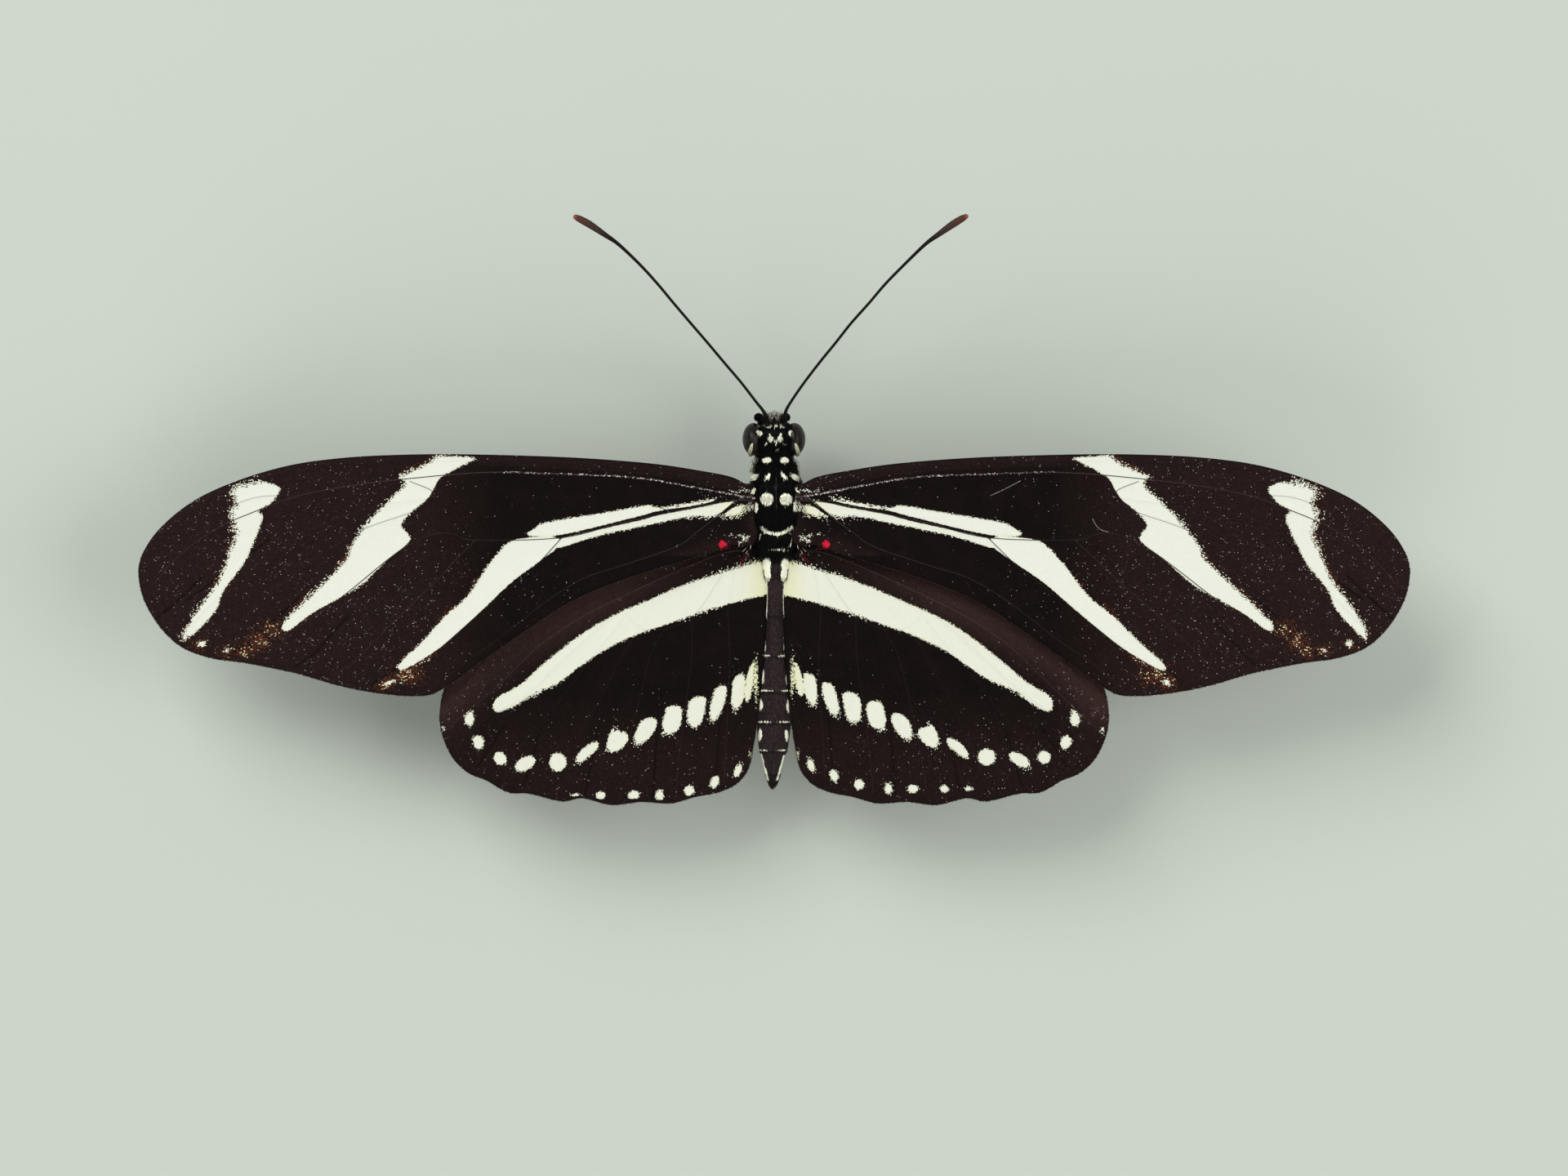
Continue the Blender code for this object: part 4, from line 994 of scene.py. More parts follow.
# Corners of a blade: share along it, place across from -1 to 1, and how far under its face.
BLADE = [(0, -0.45, 0), (0, 0.45, 0), (0, 0, 1), (0.6, -1, 0), (0.6, 1, 0), (0.6, 0, 1), (1, 0, 0)]
BLADE_QUADS = np.array([(0, 1, 4, 3), (1, 2, 5, 4), (2, 0, 3, 5)])
BLADE_TRIANGLES = np.array([(3, 4, 6), (4, 5, 6), (5, 3, 6), (2, 1, 0)])
BLADE_PATCH = np.array([(0, 0), (1, 0), (0.5, 0.1), (0, 0.6), (1, 0.6), (0.5, 0.5), (0.5, 1)]) * 0.003


def unit(vectors):
    return vectors / np.maximum(np.linalg.norm(vectors, axis=-1, keepdims=True), 1e-9)


def along_surface(way, out):
    """The part of a way that runs along a surface."""
    return unit(way - out * (way * out).sum(1)[:, None])


def middle_x(y):
    """How far the body's middle lies to the right at y."""
    return np.interp(y, *np.array(MIDDLE_LINE).T)


def body_section(y):
    """Height of the middle, half width and half height of the skin at y."""
    middle, half_width, half_height = (
        np.interp(y, SKIN_ROWS[:, 0], SKIN_ROWS[:, i]) for i in (1, 2, 3)
    )
    for start, end in zip(RING_ENDS, RING_ENDS[1:]):
        share = (start - y) / (start - end)
        flare = np.where((share > 0) & (share <= 1), RING_FLARE * (share**2 - 0.5), 0)
        half_width, half_height = half_width + flare, half_height + flare
    return middle, half_width, half_height


def body_point(y, angle):
    """A point of the skin. The angle starts at the right side and turns over the back."""
    middle, half_width, half_height = body_section(y)
    c, s = np.cos(angle), np.sin(angle)
    head = np.clip((y - 3.6) / 0.8, 0, 1)
    power = 2 / (SECTION_POWER + (HEAD_POWER - SECTION_POWER) * head)
    x = np.sign(c) * np.abs(c) ** power * half_width
    z = np.sign(s) * np.abs(s) ** power * half_height
    return np.stack([x + middle_x(y), y + 0 * x, middle + z], axis=-1)


def body_directions(y, angle):
    """Towards the tail along the skin, and outwards from it."""
    here = body_point(y, angle)
    tailward = body_point(y - 0.04, angle) - here
    outward = np.cross(body_point(y, angle + 0.01) - here, tailward)
    return unit(tailward), unit(outward)


def mark_depths(points):
    """Depth inside the body's cream marks, negative outside, and nearness to the groove."""
    middle = body_section(points[:, 1])[0]
    across = points[:, 0] - middle_x(points[:, 1])
    rise = np.degrees(np.arctan2(points[:, 2] - middle, np.abs(across)))
    depth = oval_depth(points, BACK_MARKS)
    for half, line in BACK_BANDS:
        depth = np.maximum(depth, half - distance_to(smooth_curve(line), points))
    lowest = 8 + 30 * np.clip((points[:, 1] - 5.2) / 0.3, 0, 1)
    depth = np.where(rise > lowest, depth, -FAR)
    reach = np.hypot(across, points[:, 2] - middle)
    for y, level, half_length, half_rise in SIDE_MARKS:
        share = np.hypot((points[:, 1] - y) / half_length, (rise - level) / half_rise)
        half = np.minimum(half_length, np.radians(half_rise) * reach)
        depth = np.maximum(depth, (1 - share) * half)
    groove = distance_to(np.array(MIDLINE_GROOVE), points)
    return depth, np.where(rise > 0, np.exp(-(groove / GROOVE_WIDTH) ** 2), 0)


def ring_faces(rings, sides):
    """Quads between rings of points, outwards where the rings turn right-handed along their row."""
    r, s = np.meshgrid(np.arange(rings - 1), np.arange(sides), indexing="ij")
    a = r * sides + s
    b = r * sides + (s + 1) % sides
    return np.stack([a, b, b + sides, a + sides], axis=-1).reshape(-1, 4)


def closed_rings(points, start, end):
    """Vertices and faces of a form through rings of points, closed by a point at each end."""
    rings, sides = points.shape[:2]
    first, last = rings * sides, rings * sides + 1
    s = np.arange(sides)
    after = (s + 1) % sides
    back = (rings - 1) * sides
    caps = np.vstack([
        np.stack([np.full(sides, first), after, s], axis=1),
        np.stack([np.full(sides, last), back + s, back + after], axis=1),
    ])
    return np.vstack([points.reshape(-1, 3), start, end]), [ring_faces(rings, sides), caps]


class Forms:
    """Gathers closed forms with values at their points, and makes one mesh of them."""

    def __init__(self):
        self.vertices = []
        self.faces = {3: [], 4: []}
        self.values = []
        self.places = []
        self.count = 0

    def add(self, vertices, faces, values, places=None):
        for part in faces:
            self.faces[part.shape[1]].append(part + self.count)
        self.vertices.append(vertices)
        spread = {name: np.broadcast_to(data, len(vertices)) for name, data in values.items()}
        self.values.append(spread)
        if places is not None:
            self.places.append(places)
        self.count += len(vertices)

    def add_blades(self, root, lie, out, length, width, lift, values, place):
        """Slips that start at the roots and lie one way, each lifted and curled back a little."""
        count = len(root)
        length, width, lift = (np.broadcast_to(v, count)[:, None] for v in (length, width, lift))
        side = np.cross(lie, out)
        shape = np.array(BLADE)
        points = np.empty((count, len(shape), 3))
        for i, (share, across, under) in enumerate(shape):
            angle = np.radians(lift * (1 - BLADE_CURL * share))
            ahead = lie * np.cos(angle) + out * np.sin(angle)
            thick = np.minimum(width * BLADE_SHARE, BLADE_THICKNESS)
            points[:, i] = (root + ahead * length * share + side * width / 2 * across
                            - out * (BLADE_DEPTH + thick * under))
        steps = np.arange(count)[:, None, None] * len(shape)
        faces = [(steps + f).reshape(-1, f.shape[1]) for f in (BLADE_QUADS, BLADE_TRIANGLES)]
        spread = {name: np.repeat(np.broadcast_to(v, count), len(shape))
                  for name, v in values.items()}
        spread["along"] = np.tile(shape[:, 0], count)
        places = (place[:, None] + BLADE_PATCH).reshape(-1, 2)
        self.add(points.reshape(-1, 3), faces, spread, places)

    def mesh(self, name):
        faces = [np.vstack(parts) for parts in self.faces.values() if parts]
        mesh = make_mesh(name, np.vstack(self.vertices), faces)
        add_values(mesh, {
            key: np.concatenate([values[key] for values in self.values]) for key in self.values[0]
        })
        if self.places:
            add_bake_map(mesh, np.vstack(self.places)[corner_points(mesh)])
        return mesh


def coat_roots(front, back, row, gap, chance):
    """Staggered roots over the body from front to back, as y and angle."""
    found = []
    for i, y in enumerate(np.arange(front, back, -row)):
        _, half_width, half_height = body_section(y)
        count = max(6, round(math.pi * (half_width + half_height) / gap))
        turn = 2 * math.pi * (np.arange(count) + 0.5 * (i % 2)) / count
        turn += chance.uniform(-1, 1, count) / count
        found.append(np.stack([y + chance.uniform(-0.3, 0.3, count) * row, turn], axis=1))
    return np.vstack(found).T


def outside_eyes(points):
    """True for the points that no eye covers."""
    clear = np.ones(len(points), bool)
    for turn in SIDES.values():
        clear &= np.linalg.norm((points - eye_centre(turn)) / EYE_RADII, axis=1) > EYE_COVER
    return clear


# Where the body's unwrap starts at the head, and how much of the body's length it takes.
MAP_FRONT = 6.1
MAP_LENGTH = 24.6


def bake_places(y, angle):
    """Places on an unwrap of the body: round it from the belly, and along it from the head."""
    round_share = ((angle + math.pi / 2) / (2 * math.pi)) % 1.0
    return 0.01 + 0.97 * np.stack([round_share, (MAP_FRONT - y) / MAP_LENGTH], axis=-1)


def head_flow(y, root, lie, out):
    """The way that the head's scales lie: towards the tail on top, and down over the face."""
    front = np.clip((y - 5.0) / 0.3, 0, 1)[:, None]
    low = np.clip((7.5 - root[:, 2:]) / 0.8, 0, 1)
    down = along_surface(np.hstack([0 * low, 1 - 0.6 * low, -low]), out)
    return unit(lie * (1 - front) + down * front)


def make_coat(name, finish):
    """Rows of scales that lie towards the tail, with longer hair among them."""
    chance = np.random.default_rng(len(name) * 7)
    front, back, row, gap, length, width, lift = COATS[name]
    y, angle = coat_roots(front, back, row, gap, chance)
    batches = [(y, angle, length, width, lift, 0.0)]
    for start, end, low, high, count, hair_length, hair_lift, brown in HAIRS[name]:
        y = chance.uniform(end, start, count)
        angle = np.radians(chance.uniform(low, high, count))
        batches.append((y, angle, hair_length, HAIR_WIDTH, hair_lift, brown))
    forms = Forms()
    for y, angle, length, width, lift, brown in batches:
        root = body_point(y, angle)
        clear = outside_eyes(root)
        y, angle, root = y[clear], angle[clear], root[clear]
        lie, out = body_directions(y, angle)
        if name == "head":
            lie = head_flow(y, root, lie, out)
        count = len(y)
        sway = chance.uniform(-SWAY, SWAY, count)[:, None]
        lie = unit(lie + np.cross(lie, out) * sway)
        size = length * bpy.context.scene.longwing_body.coat_length * chance.uniform(0.8, 1.2, count)
        if width == HAIR_WIDTH:
            # Only hair that stays on one side of a mark's edge is kept.
            sides = [mark_depths(root + lie * size[:, None] * part)[0] > 0 for part in (0.1, 0.5, 0.9)]
            same = (sides[0] == sides[1]) & (sides[1] == sides[2])
            y, angle, root, lie, out, size = (v[same] for v in (y, angle, root, lie, out, size))
            count = len(y)
        depth, groove = mark_depths(root + lie * size[:, None] * MARK_SHARE)
        shade = chance.uniform(0, 1, count)
        values = {
            "cream": depth + (shade - 0.5) * 0.05, "groove": groove, "shade": shade,
            "tail": np.clip((-2.8 - y) / 1.5, brown, 1),
        }
        lifts = np.where(depth > 0, MARK_LIFT, 1.0) * lift * chance.uniform(0.6, 1.4, count)
        wide = np.where(depth > 0, MARK_WIDTH, 1.0) * width * chance.uniform(0.85, 1.15, count)
        forms.add_blades(root, lie, out, size, wide, lifts, values, bake_places(y, angle))
    add_piece(forms.mesh(f"coat_{name}"), [finish])


def make_skin(finish):
    """One skin from the head's front to the tail's tip."""
    y = np.concatenate([
        np.arange(SKIN[0][0], SKIN[-1][0], -SKIN_STEP),
        [end + reach for end in RING_ENDS[1:] for reach in (RING_STEP, -RING_STEP)],
    ])
    y = np.sort(y)[::-1]
    turn = 2 * math.pi * np.arange(SKIN_SIDES) / SKIN_SIDES - math.pi / 2
    grid_y, grid_turn = np.meshgrid(y, turn, indexing="ij")
    points = body_point(grid_y, grid_turn)
    first, last = points[0].mean(0) + (0, 0.05, 0), points[-1].mean(0) - (0, 0.05, 0)
    vertices, faces = closed_rings(points, first, last)
    depth, groove = mark_depths(vertices)
    middle = body_section(vertices[:, 1])[0]
    round_it = np.arctan2(vertices[:, 2] - middle, vertices[:, 0]) * 1.4
    weave = np.stack([-vertices[:, 1], round_it, 0 * round_it], axis=1)
    forms = Forms()
    forms.add(vertices, faces, {
        "cream": depth, "groove": groove, "tail": np.clip((-2.8 - vertices[:, 1]) / 1.5, 0, 1),
    })
    mesh = forms.mesh("body_skin")
    add_values(mesh, {"weave": weave})
    add_piece(mesh, [finish], ["head", "prothorax", "thorax", "abdomen"])


# Scale-covered cap over each forewing root, right side, and how many scales are tried on it.
CAP_CENTRE = (1.55, 1.27, 8.0)
CAP_RADII = (0.52, 0.5, 0.42)
CAP_SCALES = 420
# The length, width and lift of its blades.
CAP_BLADE = (0.26, 0.08, 10)
# Tufts at the wing roots, right side: where each starts, which way it points, how many blades, how
# far they spread, their length and width, and how pale and how brown they are.
TUFTS = [
    ((1.6, 0.42, 8.45), (0.35, -0.9, 0.1), 50, 0.09, 0.4, 0.045, 0.6, 0.3),
    ((1.85, 0.3, 8.3), (0.5, -0.85, 0.1), 40, 0.08, 0.5, 0.035, 0.3, 0.9),
    ((1.9, -0.1, 8.25), (0.5, -0.9, 0.0), 40, 0.09, 0.5, 0.035, 0.25, 1.0),
    ((0.62, 5.95, 8.3), (0.1, 0.9, 0.5), 60, 0.09, 0.42, 0.035, 0.0, 0.3),
    ((0.28, 5.85, 7.8), (0.0, 0.9, 0.35), 240, 0.17, 0.55, 0.022, 0.12, 1.0),
    ((2.0, 1.35, 8.35), (0.9, -0.1, 0.1), 40, 0.15, 0.25, 0.06, 0.3, 0.3),
    ((1.58, 2.08, 7.95), (-0.85, 0.42, 0.3), 60, 0.06, 0.44, 0.085, 1.0, 0.0),
    ((1.24, 3.42, 7.1), (0.2, -0.95, 0.05), 90, 0.09, 0.42, 0.026, 0.7, 0.5),
    ((1.42, 2.9, 7.2), (0.18, -0.95, 0.05), 70, 0.09, 0.4, 0.026, 0.5, 0.5),
    ((1.05, 5.24, 7.98), (0.03, -1.0, -0.03), 26, 0.045, 0.26, 0.055, 1.0, 0.0),
    ((2.0, -1.75, 8.1), (0.5, -0.8, 0.1), 26, 0.14, 0.22, 0.07, 0.75, 0.3),
    ((2.35, -1.95, 8.05), (0.3, -0.9, 0.1), 22, 0.14, 0.22, 0.07, 0.75, 0.3),
    ((1.75, -1.9, 8.1), (0.2, -1.0, 0.0), 60, 0.16, 0.35, 0.035, 0.05, 0.4),
    ((1.85, -0.9, 8.1), (0.4, -0.9, 0.0), 80, 0.25, 0.35, 0.035, 0.03, 0.4),
    ((1.6, -2.7, 7.4), (0.4, -0.8, 0.1), 70, 0.2, 0.45, 0.035, 0.04, 0.7),
]

# How much the blades of a tuft point different ways: those of white tufts hold together.
NEAT = 0.07
LOOSE = 0.22


def ball(level):
    """Points and faces of a round form of radius 1."""
    form = bmesh.new()
    bmesh.ops.create_icosphere(form, subdivisions=level, radius=1.0)
    points = np.array([v.co for v in form.verts])
    faces = np.array([[v.index for v in f.verts] for f in form.faces])
    form.free()
    return points, faces


def make_caps(side, finish):
    """The cap over a forewing's root, and the tufts about the roots of both wings."""
    turn = SIDES[side]
    chance = np.random.default_rng(SEEDS["wing root"])
    dome, faces = ball(4)
    centre = np.array(CAP_CENTRE) * (turn, 1, 1) + (HEAD_SHIFT / 2, 0, 0)
    forms = Forms()
    points = dome * CAP_RADII + centre
    plain = {"groove": 0.0, "tail": 0.0}
    values = {"cream": oval_depth(points, BACK_MARKS), "shade": 0.5, "along": 0.4, **plain}
    forms.add(points, [faces], values, 0.5 + dome[:, :2] * 0.3)
    out = unit(chance.normal(size=(CAP_SCALES, 3)))
    out = out[out[:, 2] > -0.3]
    root = out * CAP_RADII + centre
    lie = along_surface(np.tile((0.25 * turn, -1.0, -0.1), (len(out), 1)), out)
    shade = chance.uniform(0, 1, len(out))
    cream = oval_depth(root + lie * 0.15, BACK_MARKS) + (shade - 0.5) * 0.04
    values = {"cream": cream, "shade": shade, **plain}
    forms.add_blades(root, lie, out, *CAP_BLADE, values, 0.5 + out[:, :2] * 0.3)
    for start, way, count, spread, length, width, pale, brown in TUFTS:
        root = np.array(start) + chance.normal(size=(count, 3)) * (spread, spread, spread * 0.3)
        stray = NEAT if pale == 1.0 else LOOSE
        lie = unit(np.array(way) + chance.normal(size=(count, 3)) * stray)
        root, lie = root * (turn, 1, 1), lie * (turn, 1, 1)
        up = np.tile((0.0, 0.0, 1.0), (count, 1))
        out = unit(up - lie * lie[:, 2:])
        shade = chance.uniform(0, 1, count)
        values = {"cream": np.where(shade < pale, 1.0, -1.0), "groove": 0.0, "tail": brown,
                  "shade": chance.uniform(0.2, 1, count)}
        size = length * chance.uniform(0.7, 1.2, count)
        forms.add_blades(root, lie, out, size, width, 6.0, values, 0.2 + root[:, :2] * 0.02)
    add_piece(forms.mesh(f"wing_root_{side}_coat"), [finish])


def body_colour(finish, cream, tone):
    """Black-brown or cream, for the skin and for the coat on it."""
    colours = bpy.context.scene.longwing_colours
    dark = finish.mix(finish.attribute("tail"), colours.thorax, colours.abdomen)
    dark = finish.mix(finish.attribute("groove") * 0.4, dark, colours.groove)
    pale = finish.mix(finish.attribute("warm"), colours.body_cream, colours.warm_pale)
    dark, pale = finish.shaded(dark, tone), finish.shaded(pale, tone * 0.12 + 0.88)
    return finish.mix(cream, dark, pale)


def skin_finish():
    finish = Finish("body skin", {"Specular IOR Level": 0.06})
    rows = finish.stretch(finish.attribute("weave", "Vector"), (1 / 0.16, 1 / 0.07, 0))
    cells, chance, shade, _ = finish.cells(rows)
    cream = (finish.attribute("cream") + (chance - 0.5) * 0.06).edge(0.03)
    finish.feed("Base Color", body_colour(finish, cream, 0.55 + shade * 0.7))
    finish.feed("Roughness", 0.5 + shade * 0.25)
    finish.feed("Normal", finish.bump(cells["Distance"] * -0.6 + shade * 0.4, 0.6, 0.03 * MM))
    return finish.material


def coat_finish():
    finish = Finish("body coat", {"Specular IOR Level": 0.08})
    shade = finish.attribute("shade")
    along = finish.attribute("along")
    cream = finish.attribute("cream").edge(0.02)
    streak = finish.noise(finish.stretch(finish.place(), (1, 0.25, 1)), 0.03 * MM, 2.0)
    tone = (0.5 + shade * 0.7) * (0.65 + along * 0.45) + (streak - 0.5) * 0.3
    finish.feed("Base Color", body_colour(finish, cream, tone))
    finish.feed("Roughness", 0.42 + shade * 0.25 + cream * 0.15)
    relief = bpy.context.scene.longwing_body.coat_relief
    finish.feed("Normal", finish.bump(streak, relief, 0.01 * MM))
    return finish.material


EYE_CENTRE = (1.36, 4.74, 6.88)
EYE_RADII = (0.72, 1.08, 1.25)
EYE_SHIFT = -0.02
# The head's scales start outside this share of the eye's size.
EYE_COVER = 0.88
FACET_RISE = 0.007
# Scales of the rim: row spacing, spacing round, length, width and lift.
EYE_RIM_COAT = (0.05, 0.05, 0.3, 0.06, 10)
EYE_RIM = [
    (1.33, 4.62, 8.05, 0.03), (1.44, 4.38, 8.0, 0.1), (1.53, 4.1, 7.8, 0.13), (1.59, 3.86, 7.4, 0.12),
    (1.57, 3.73, 6.9, 0.09), (1.53, 3.7, 6.35, 0.07), (1.36, 3.85, 5.85, 0.04),
]


def eye_centre(turn):
    return np.array(EYE_CENTRE) * (turn, 1, 1) + (EYE_SHIFT, 0, 0)


def make_eye(side, finish, coat):
    """A domed compound eye with low facets, and the cream rim of scales behind it."""
    turn = SIDES[side]
    fine, faces = ball(6)
    # The points of the coarser ball are the facets' middles.
    middles = {tuple(p) for p in np.round(ball(5)[0], 4) + 0.0}
    raised = np.array([tuple(p) in middles for p in np.round(fine, 4) + 0.0])
    points = fine * EYE_RADII + unit(fine / EYE_RADII) * FACET_RISE * raised[:, None]
    forms = Forms()
    forms.add(points + eye_centre(turn), [faces], {"facet": raised.astype(float)})
    add_piece(forms.mesh(f"eye_{side}_dome"), [finish], [f"eye_{side}"])

    chance = np.random.default_rng(SEEDS["eye rim"])
    line = smooth_curve(EYE_RIM, 14)
    row, gap, *blade = EYE_RIM_COAT
    root, lie, out, place = tube_roots(line, row, gap, chance)
    root, lie, out = (v * (turn, 1, 1) for v in (root, lie, out))
    root = root + (EYE_SHIFT, 0, 0)
    shade = chance.uniform(0, 1, len(root))
    seen = 0.3 - np.abs(place[:, 0] - 0.3)
    values = {"cream": seen + (shade - 0.5) * 0.1, "groove": 0.0, "shade": shade, "tail": 0.0,
              "warm": 0.5}
    rim = Forms()
    rim.add_blades(root, lie, out, *blade, values, 0.05 + 0.9 * place)
    add_piece(rim.mesh(f"eye_{side}_rim"), [coat])


def eye_finish():
    colours = bpy.context.scene.longwing_colours
    finish = Finish("compound eye", {"Specular IOR Level": 0.14, "Coat Roughness": 0.1})
    place = finish.place()
    cloud = finish.noise(place, 0.7 * MM, 2.0)
    # Painted highlight: lighter streaks in the eye's colour stand for the light reflected in it, patchy
    # through the cloud.
    streak = finish.noise(finish.stretch(place, (1.0, 0.25, 0.6)), 0.13 * MM, 3.0)
    share = streak.step(0.46, 0.75) * (0.25 + cloud)
    finish.feed("Base Color", finish.mix(share, colours.eye_dark, colours.eye_streak_highlight))
    finish.feed("Roughness", 0.3 + cloud * 0.15)
    finish.feed("Coat Weight", 0.06 + streak * 0.1)
    sockets = {"Vector": place, "Scale": 1 / (0.05 * MM), "Randomness": 0.35}
    cells = finish.node("TexVoronoi", {}, sockets)
    finish.feed("Normal", finish.bump(cells["Distance"] * -1.0, 0.35, 0.01 * MM))
    return finish.material


def line_directions(line):
    """Directions along a line, and two square to them that turn as little as they can."""
    ahead = unit(np.gradient(line[:, :3], axis=0))
    current = np.cross(ahead[0], (1, 0, 0) if abs(ahead[0][0]) < 0.8 else (0, 0, 1))
    sides = []
    for direction in ahead:
        current = unit(current - direction * (current @ direction))
        sides.append(current)
    return ahead, np.array(sides), np.cross(ahead, sides)


def tube_form(line, sides):
    """A closed tube along rows of x, y, z, radius: vertices, faces, and places along and round it."""
    ahead, side, up = line_directions(line)
    turn = 2 * math.pi * np.arange(sides)[None, :, None] / sides
    ring = np.cos(turn) * side[:, None] + np.sin(turn) * up[:, None]
    points = line[:, None, :3] + line[:, None, 3:4] * ring
    start = line[0, :3] - ahead[0] * line[0, 3] * 0.5
    end = line[-1, :3] + ahead[-1] * line[-1, 3] * 0.5
    vertices, faces = closed_rings(points, start, end)
    share = np.append(np.repeat(np.linspace(0, 1, len(line)), sides), [0, 1])
    fold = np.append(np.tile(np.abs(2 * np.arange(sides) / sides - 1), len(line)), [0.5, 0.5])
    return vertices, faces, np.stack([share, fold], axis=1)


def ringed(line, step, profile):
    """The line sampled for joints of that length, each with a profile of shares and widths."""
    length = lengths_along(line)[-1]
    joints = max(1, round(length / step))
    rows = sampled(line, [(j + share) * length / joints for j in range(joints) for share, _ in profile])
    rows[:, 3] *= np.tile([width for _, width in profile], joints)
    return rows


def ring_values(levels, rows, sides):
    """A value for each point of a ringed tube, the same levels for every joint."""
    return np.append(np.repeat(np.tile(levels, len(rows) // len(levels)), sides), [0, 1])


def tube_roots(line, row, gap, chance):
    """Staggered roots over a tube: each root, its ways along and out, its place along and round."""
    steps = even_steps(line, row)
    ahead, side, up = line_directions(steps)
    found = []
    for i, (place, a, s, u) in enumerate(zip(steps, ahead, side, up)):
        count = max(4, round(2 * math.pi * place[3] / gap))
        turn = 2 * math.pi * (np.arange(count)[:, None] + 0.5 * (i % 2)) / count
        turn = turn + chance.uniform(-1, 1, (count, 1)) / count
        out = np.cos(turn) * s + np.sin(turn) * u
        share = np.full((count, 1), i / max(1, len(steps) - 1))
        fold = np.abs(turn / math.pi % 2 - 1)
        root = place[:3] + out * place[3]
        found.append(np.hstack([root, np.tile(a, (count, 1)), out, share, fold]))
    table = np.vstack(found)
    return table[:, :3], table[:, 3:6], table[:, 6:9], table[:, 9:]


# Feelers: points of the middle line of each and the radius there.
FEELERS = {
    "right": [(0.62, 5.55, 7.75, 0.16), (0.7, 5.85, 8.0, 0.17), (0.73, 6.2, 8.25, 0.15),
        (0.78, 6.6, 8.45, 0.11), (1.12, 7.2, 8.75, 0.095), (2.0, 8.46, 9.2, 0.092),
        (3.07, 9.84, 9.65, 0.092), (4.04, 11.02, 10.0, 0.092), (5.05, 12.29, 10.35, 0.092),
        (6.2, 13.57, 10.7, 0.092), (7.3, 14.85, 11.0, 0.095), (8.55, 16.12, 11.3, 0.1),
        (9.9, 17.42, 11.6, 0.12), (10.75, 18.05, 11.75, 0.175), (11.7, 18.72, 11.85, 0.24),
        (12.35, 19.12, 11.9, 0.22), (12.7, 19.3, 11.92, 0.13)],
    "left": [(-0.42, 5.55, 7.75, 0.16), (-0.5, 5.85, 8.0, 0.17), (-0.56, 6.2, 8.25, 0.15),
        (-0.74, 6.6, 8.45, 0.11), (-1.22, 7.2, 8.75, 0.095), (-2.2, 8.46, 9.2, 0.092),
        (-3.3, 9.74, 9.65, 0.092), (-4.38, 11.02, 10.0, 0.092), (-5.48, 12.29, 10.35, 0.092),
        (-6.58, 13.57, 10.7, 0.092), (-7.65, 14.85, 11.0, 0.095), (-8.82, 16.12, 11.3, 0.1),
        (-10.2, 17.42, 11.6, 0.12), (-11.1, 18.05, 11.75, 0.175), (-12.1, 18.72, 11.85, 0.24),
        (-12.8, 19.1, 11.9, 0.22), (-13.14, 19.27, 11.92, 0.13)],
}
FEELER_JOINT = 0.34
FEELER_PROFILE = [(0.0, 0.96), (0.1, 1.0), (0.55, 1.0), (0.93, 1.025)]
FEELER_LEVELS = [0.0, 0.2, 0.6, 1.0]
FEELER_SIDES = 20
# Scales of the feelers: row spacing, spacing round, length, width and lift. The last tenth is bare.
FEELER_COAT = (0.09, 0.06, 0.13, 0.05, 6)
FEELER_COVERED = 0.9


def make_feeler(side, finish):
    """A feeler of many short joints with a slim club at its end, and rows of scales on it."""
    chance = np.random.default_rng(SEEDS["feeler"])
    line = smooth_curve(FEELERS[side])
    rows = ringed(line, FEELER_JOINT, FEELER_PROFILE)
    vertices, faces, place = tube_form(rows, FEELER_SIDES)
    ring = ring_values(FEELER_LEVELS, rows, FEELER_SIDES)
    forms = Forms()
    forms.add(vertices, faces, {"share": place[:, 0], "joint": ring, "shade": 0.5})
    add_piece(forms.mesh(f"feeler_{side}"), [finish], [f"antenna_{side}"])
    row, gap, *blade = FEELER_COAT
    found = tube_roots(line * (1, 1, 1, 0.97), row, gap, chance)
    root, lie, out, place = (part[found[3][:, 0] < FEELER_COVERED] for part in found)
    scales = Forms()
    values = {"share": place[:, 0], "joint": 0.6, "shade": chance.uniform(0, 1, len(root))}
    scales.add_blades(root, lie, out, *blade, values, 0.05 + 0.9 * place)
    add_piece(scales.mesh(f"feeler_{side}_coat"), [finish])


def feeler_finish():
    """Black scales, then the club's brown that reddens to its tip."""
    colours = bpy.context.scene.longwing_colours
    finish = Finish("feeler", {"Specular IOR Level": 0.1})
    share, shade = finish.attribute("share"), finish.attribute("shade")
    colour = finish.mix(share.step(0.84, 0.93), colours.feeler, colours.club)
    colour = finish.mix(share.step(0.92, 0.99), colour, colours.club_end)
    colour = finish.mix(share.step(0.991, 1.0), colour, colours.club_tip)
    grain = finish.noise(finish.place(), 0.05 * MM, 2.0)
    colour = finish.shaded(colour, 0.6 + shade * 0.5 + grain * 0.3)
    pale_end = finish.attribute("joint").step(0.85, 1.0) * grain.step(0.45, 0.7) * 0.12
    finish.feed("Base Color", finish.mix(pale_end, colour, colours.vein))
    finish.feed("Roughness", 0.38 + shade * 0.2)
    finish.feed("Normal", finish.bump(grain, 0.4, 0.008 * MM))
    return finish.material


# Mouth parts: the palps' middle line and radius, right side, and the coil of the tongue.
PALP = [
    (0.7, 5.3, 5.35, 0.18), (0.75, 5.75, 5.05, 0.22), (0.78, 6.1, 5.32, 0.25),
    (0.88, 6.22, 5.95, 0.26), (0.96, 6.2, 6.75, 0.22), (1.0, 6.12, 7.2, 0.15),
    (1.02, 6.08, 7.45, 0.08),
]
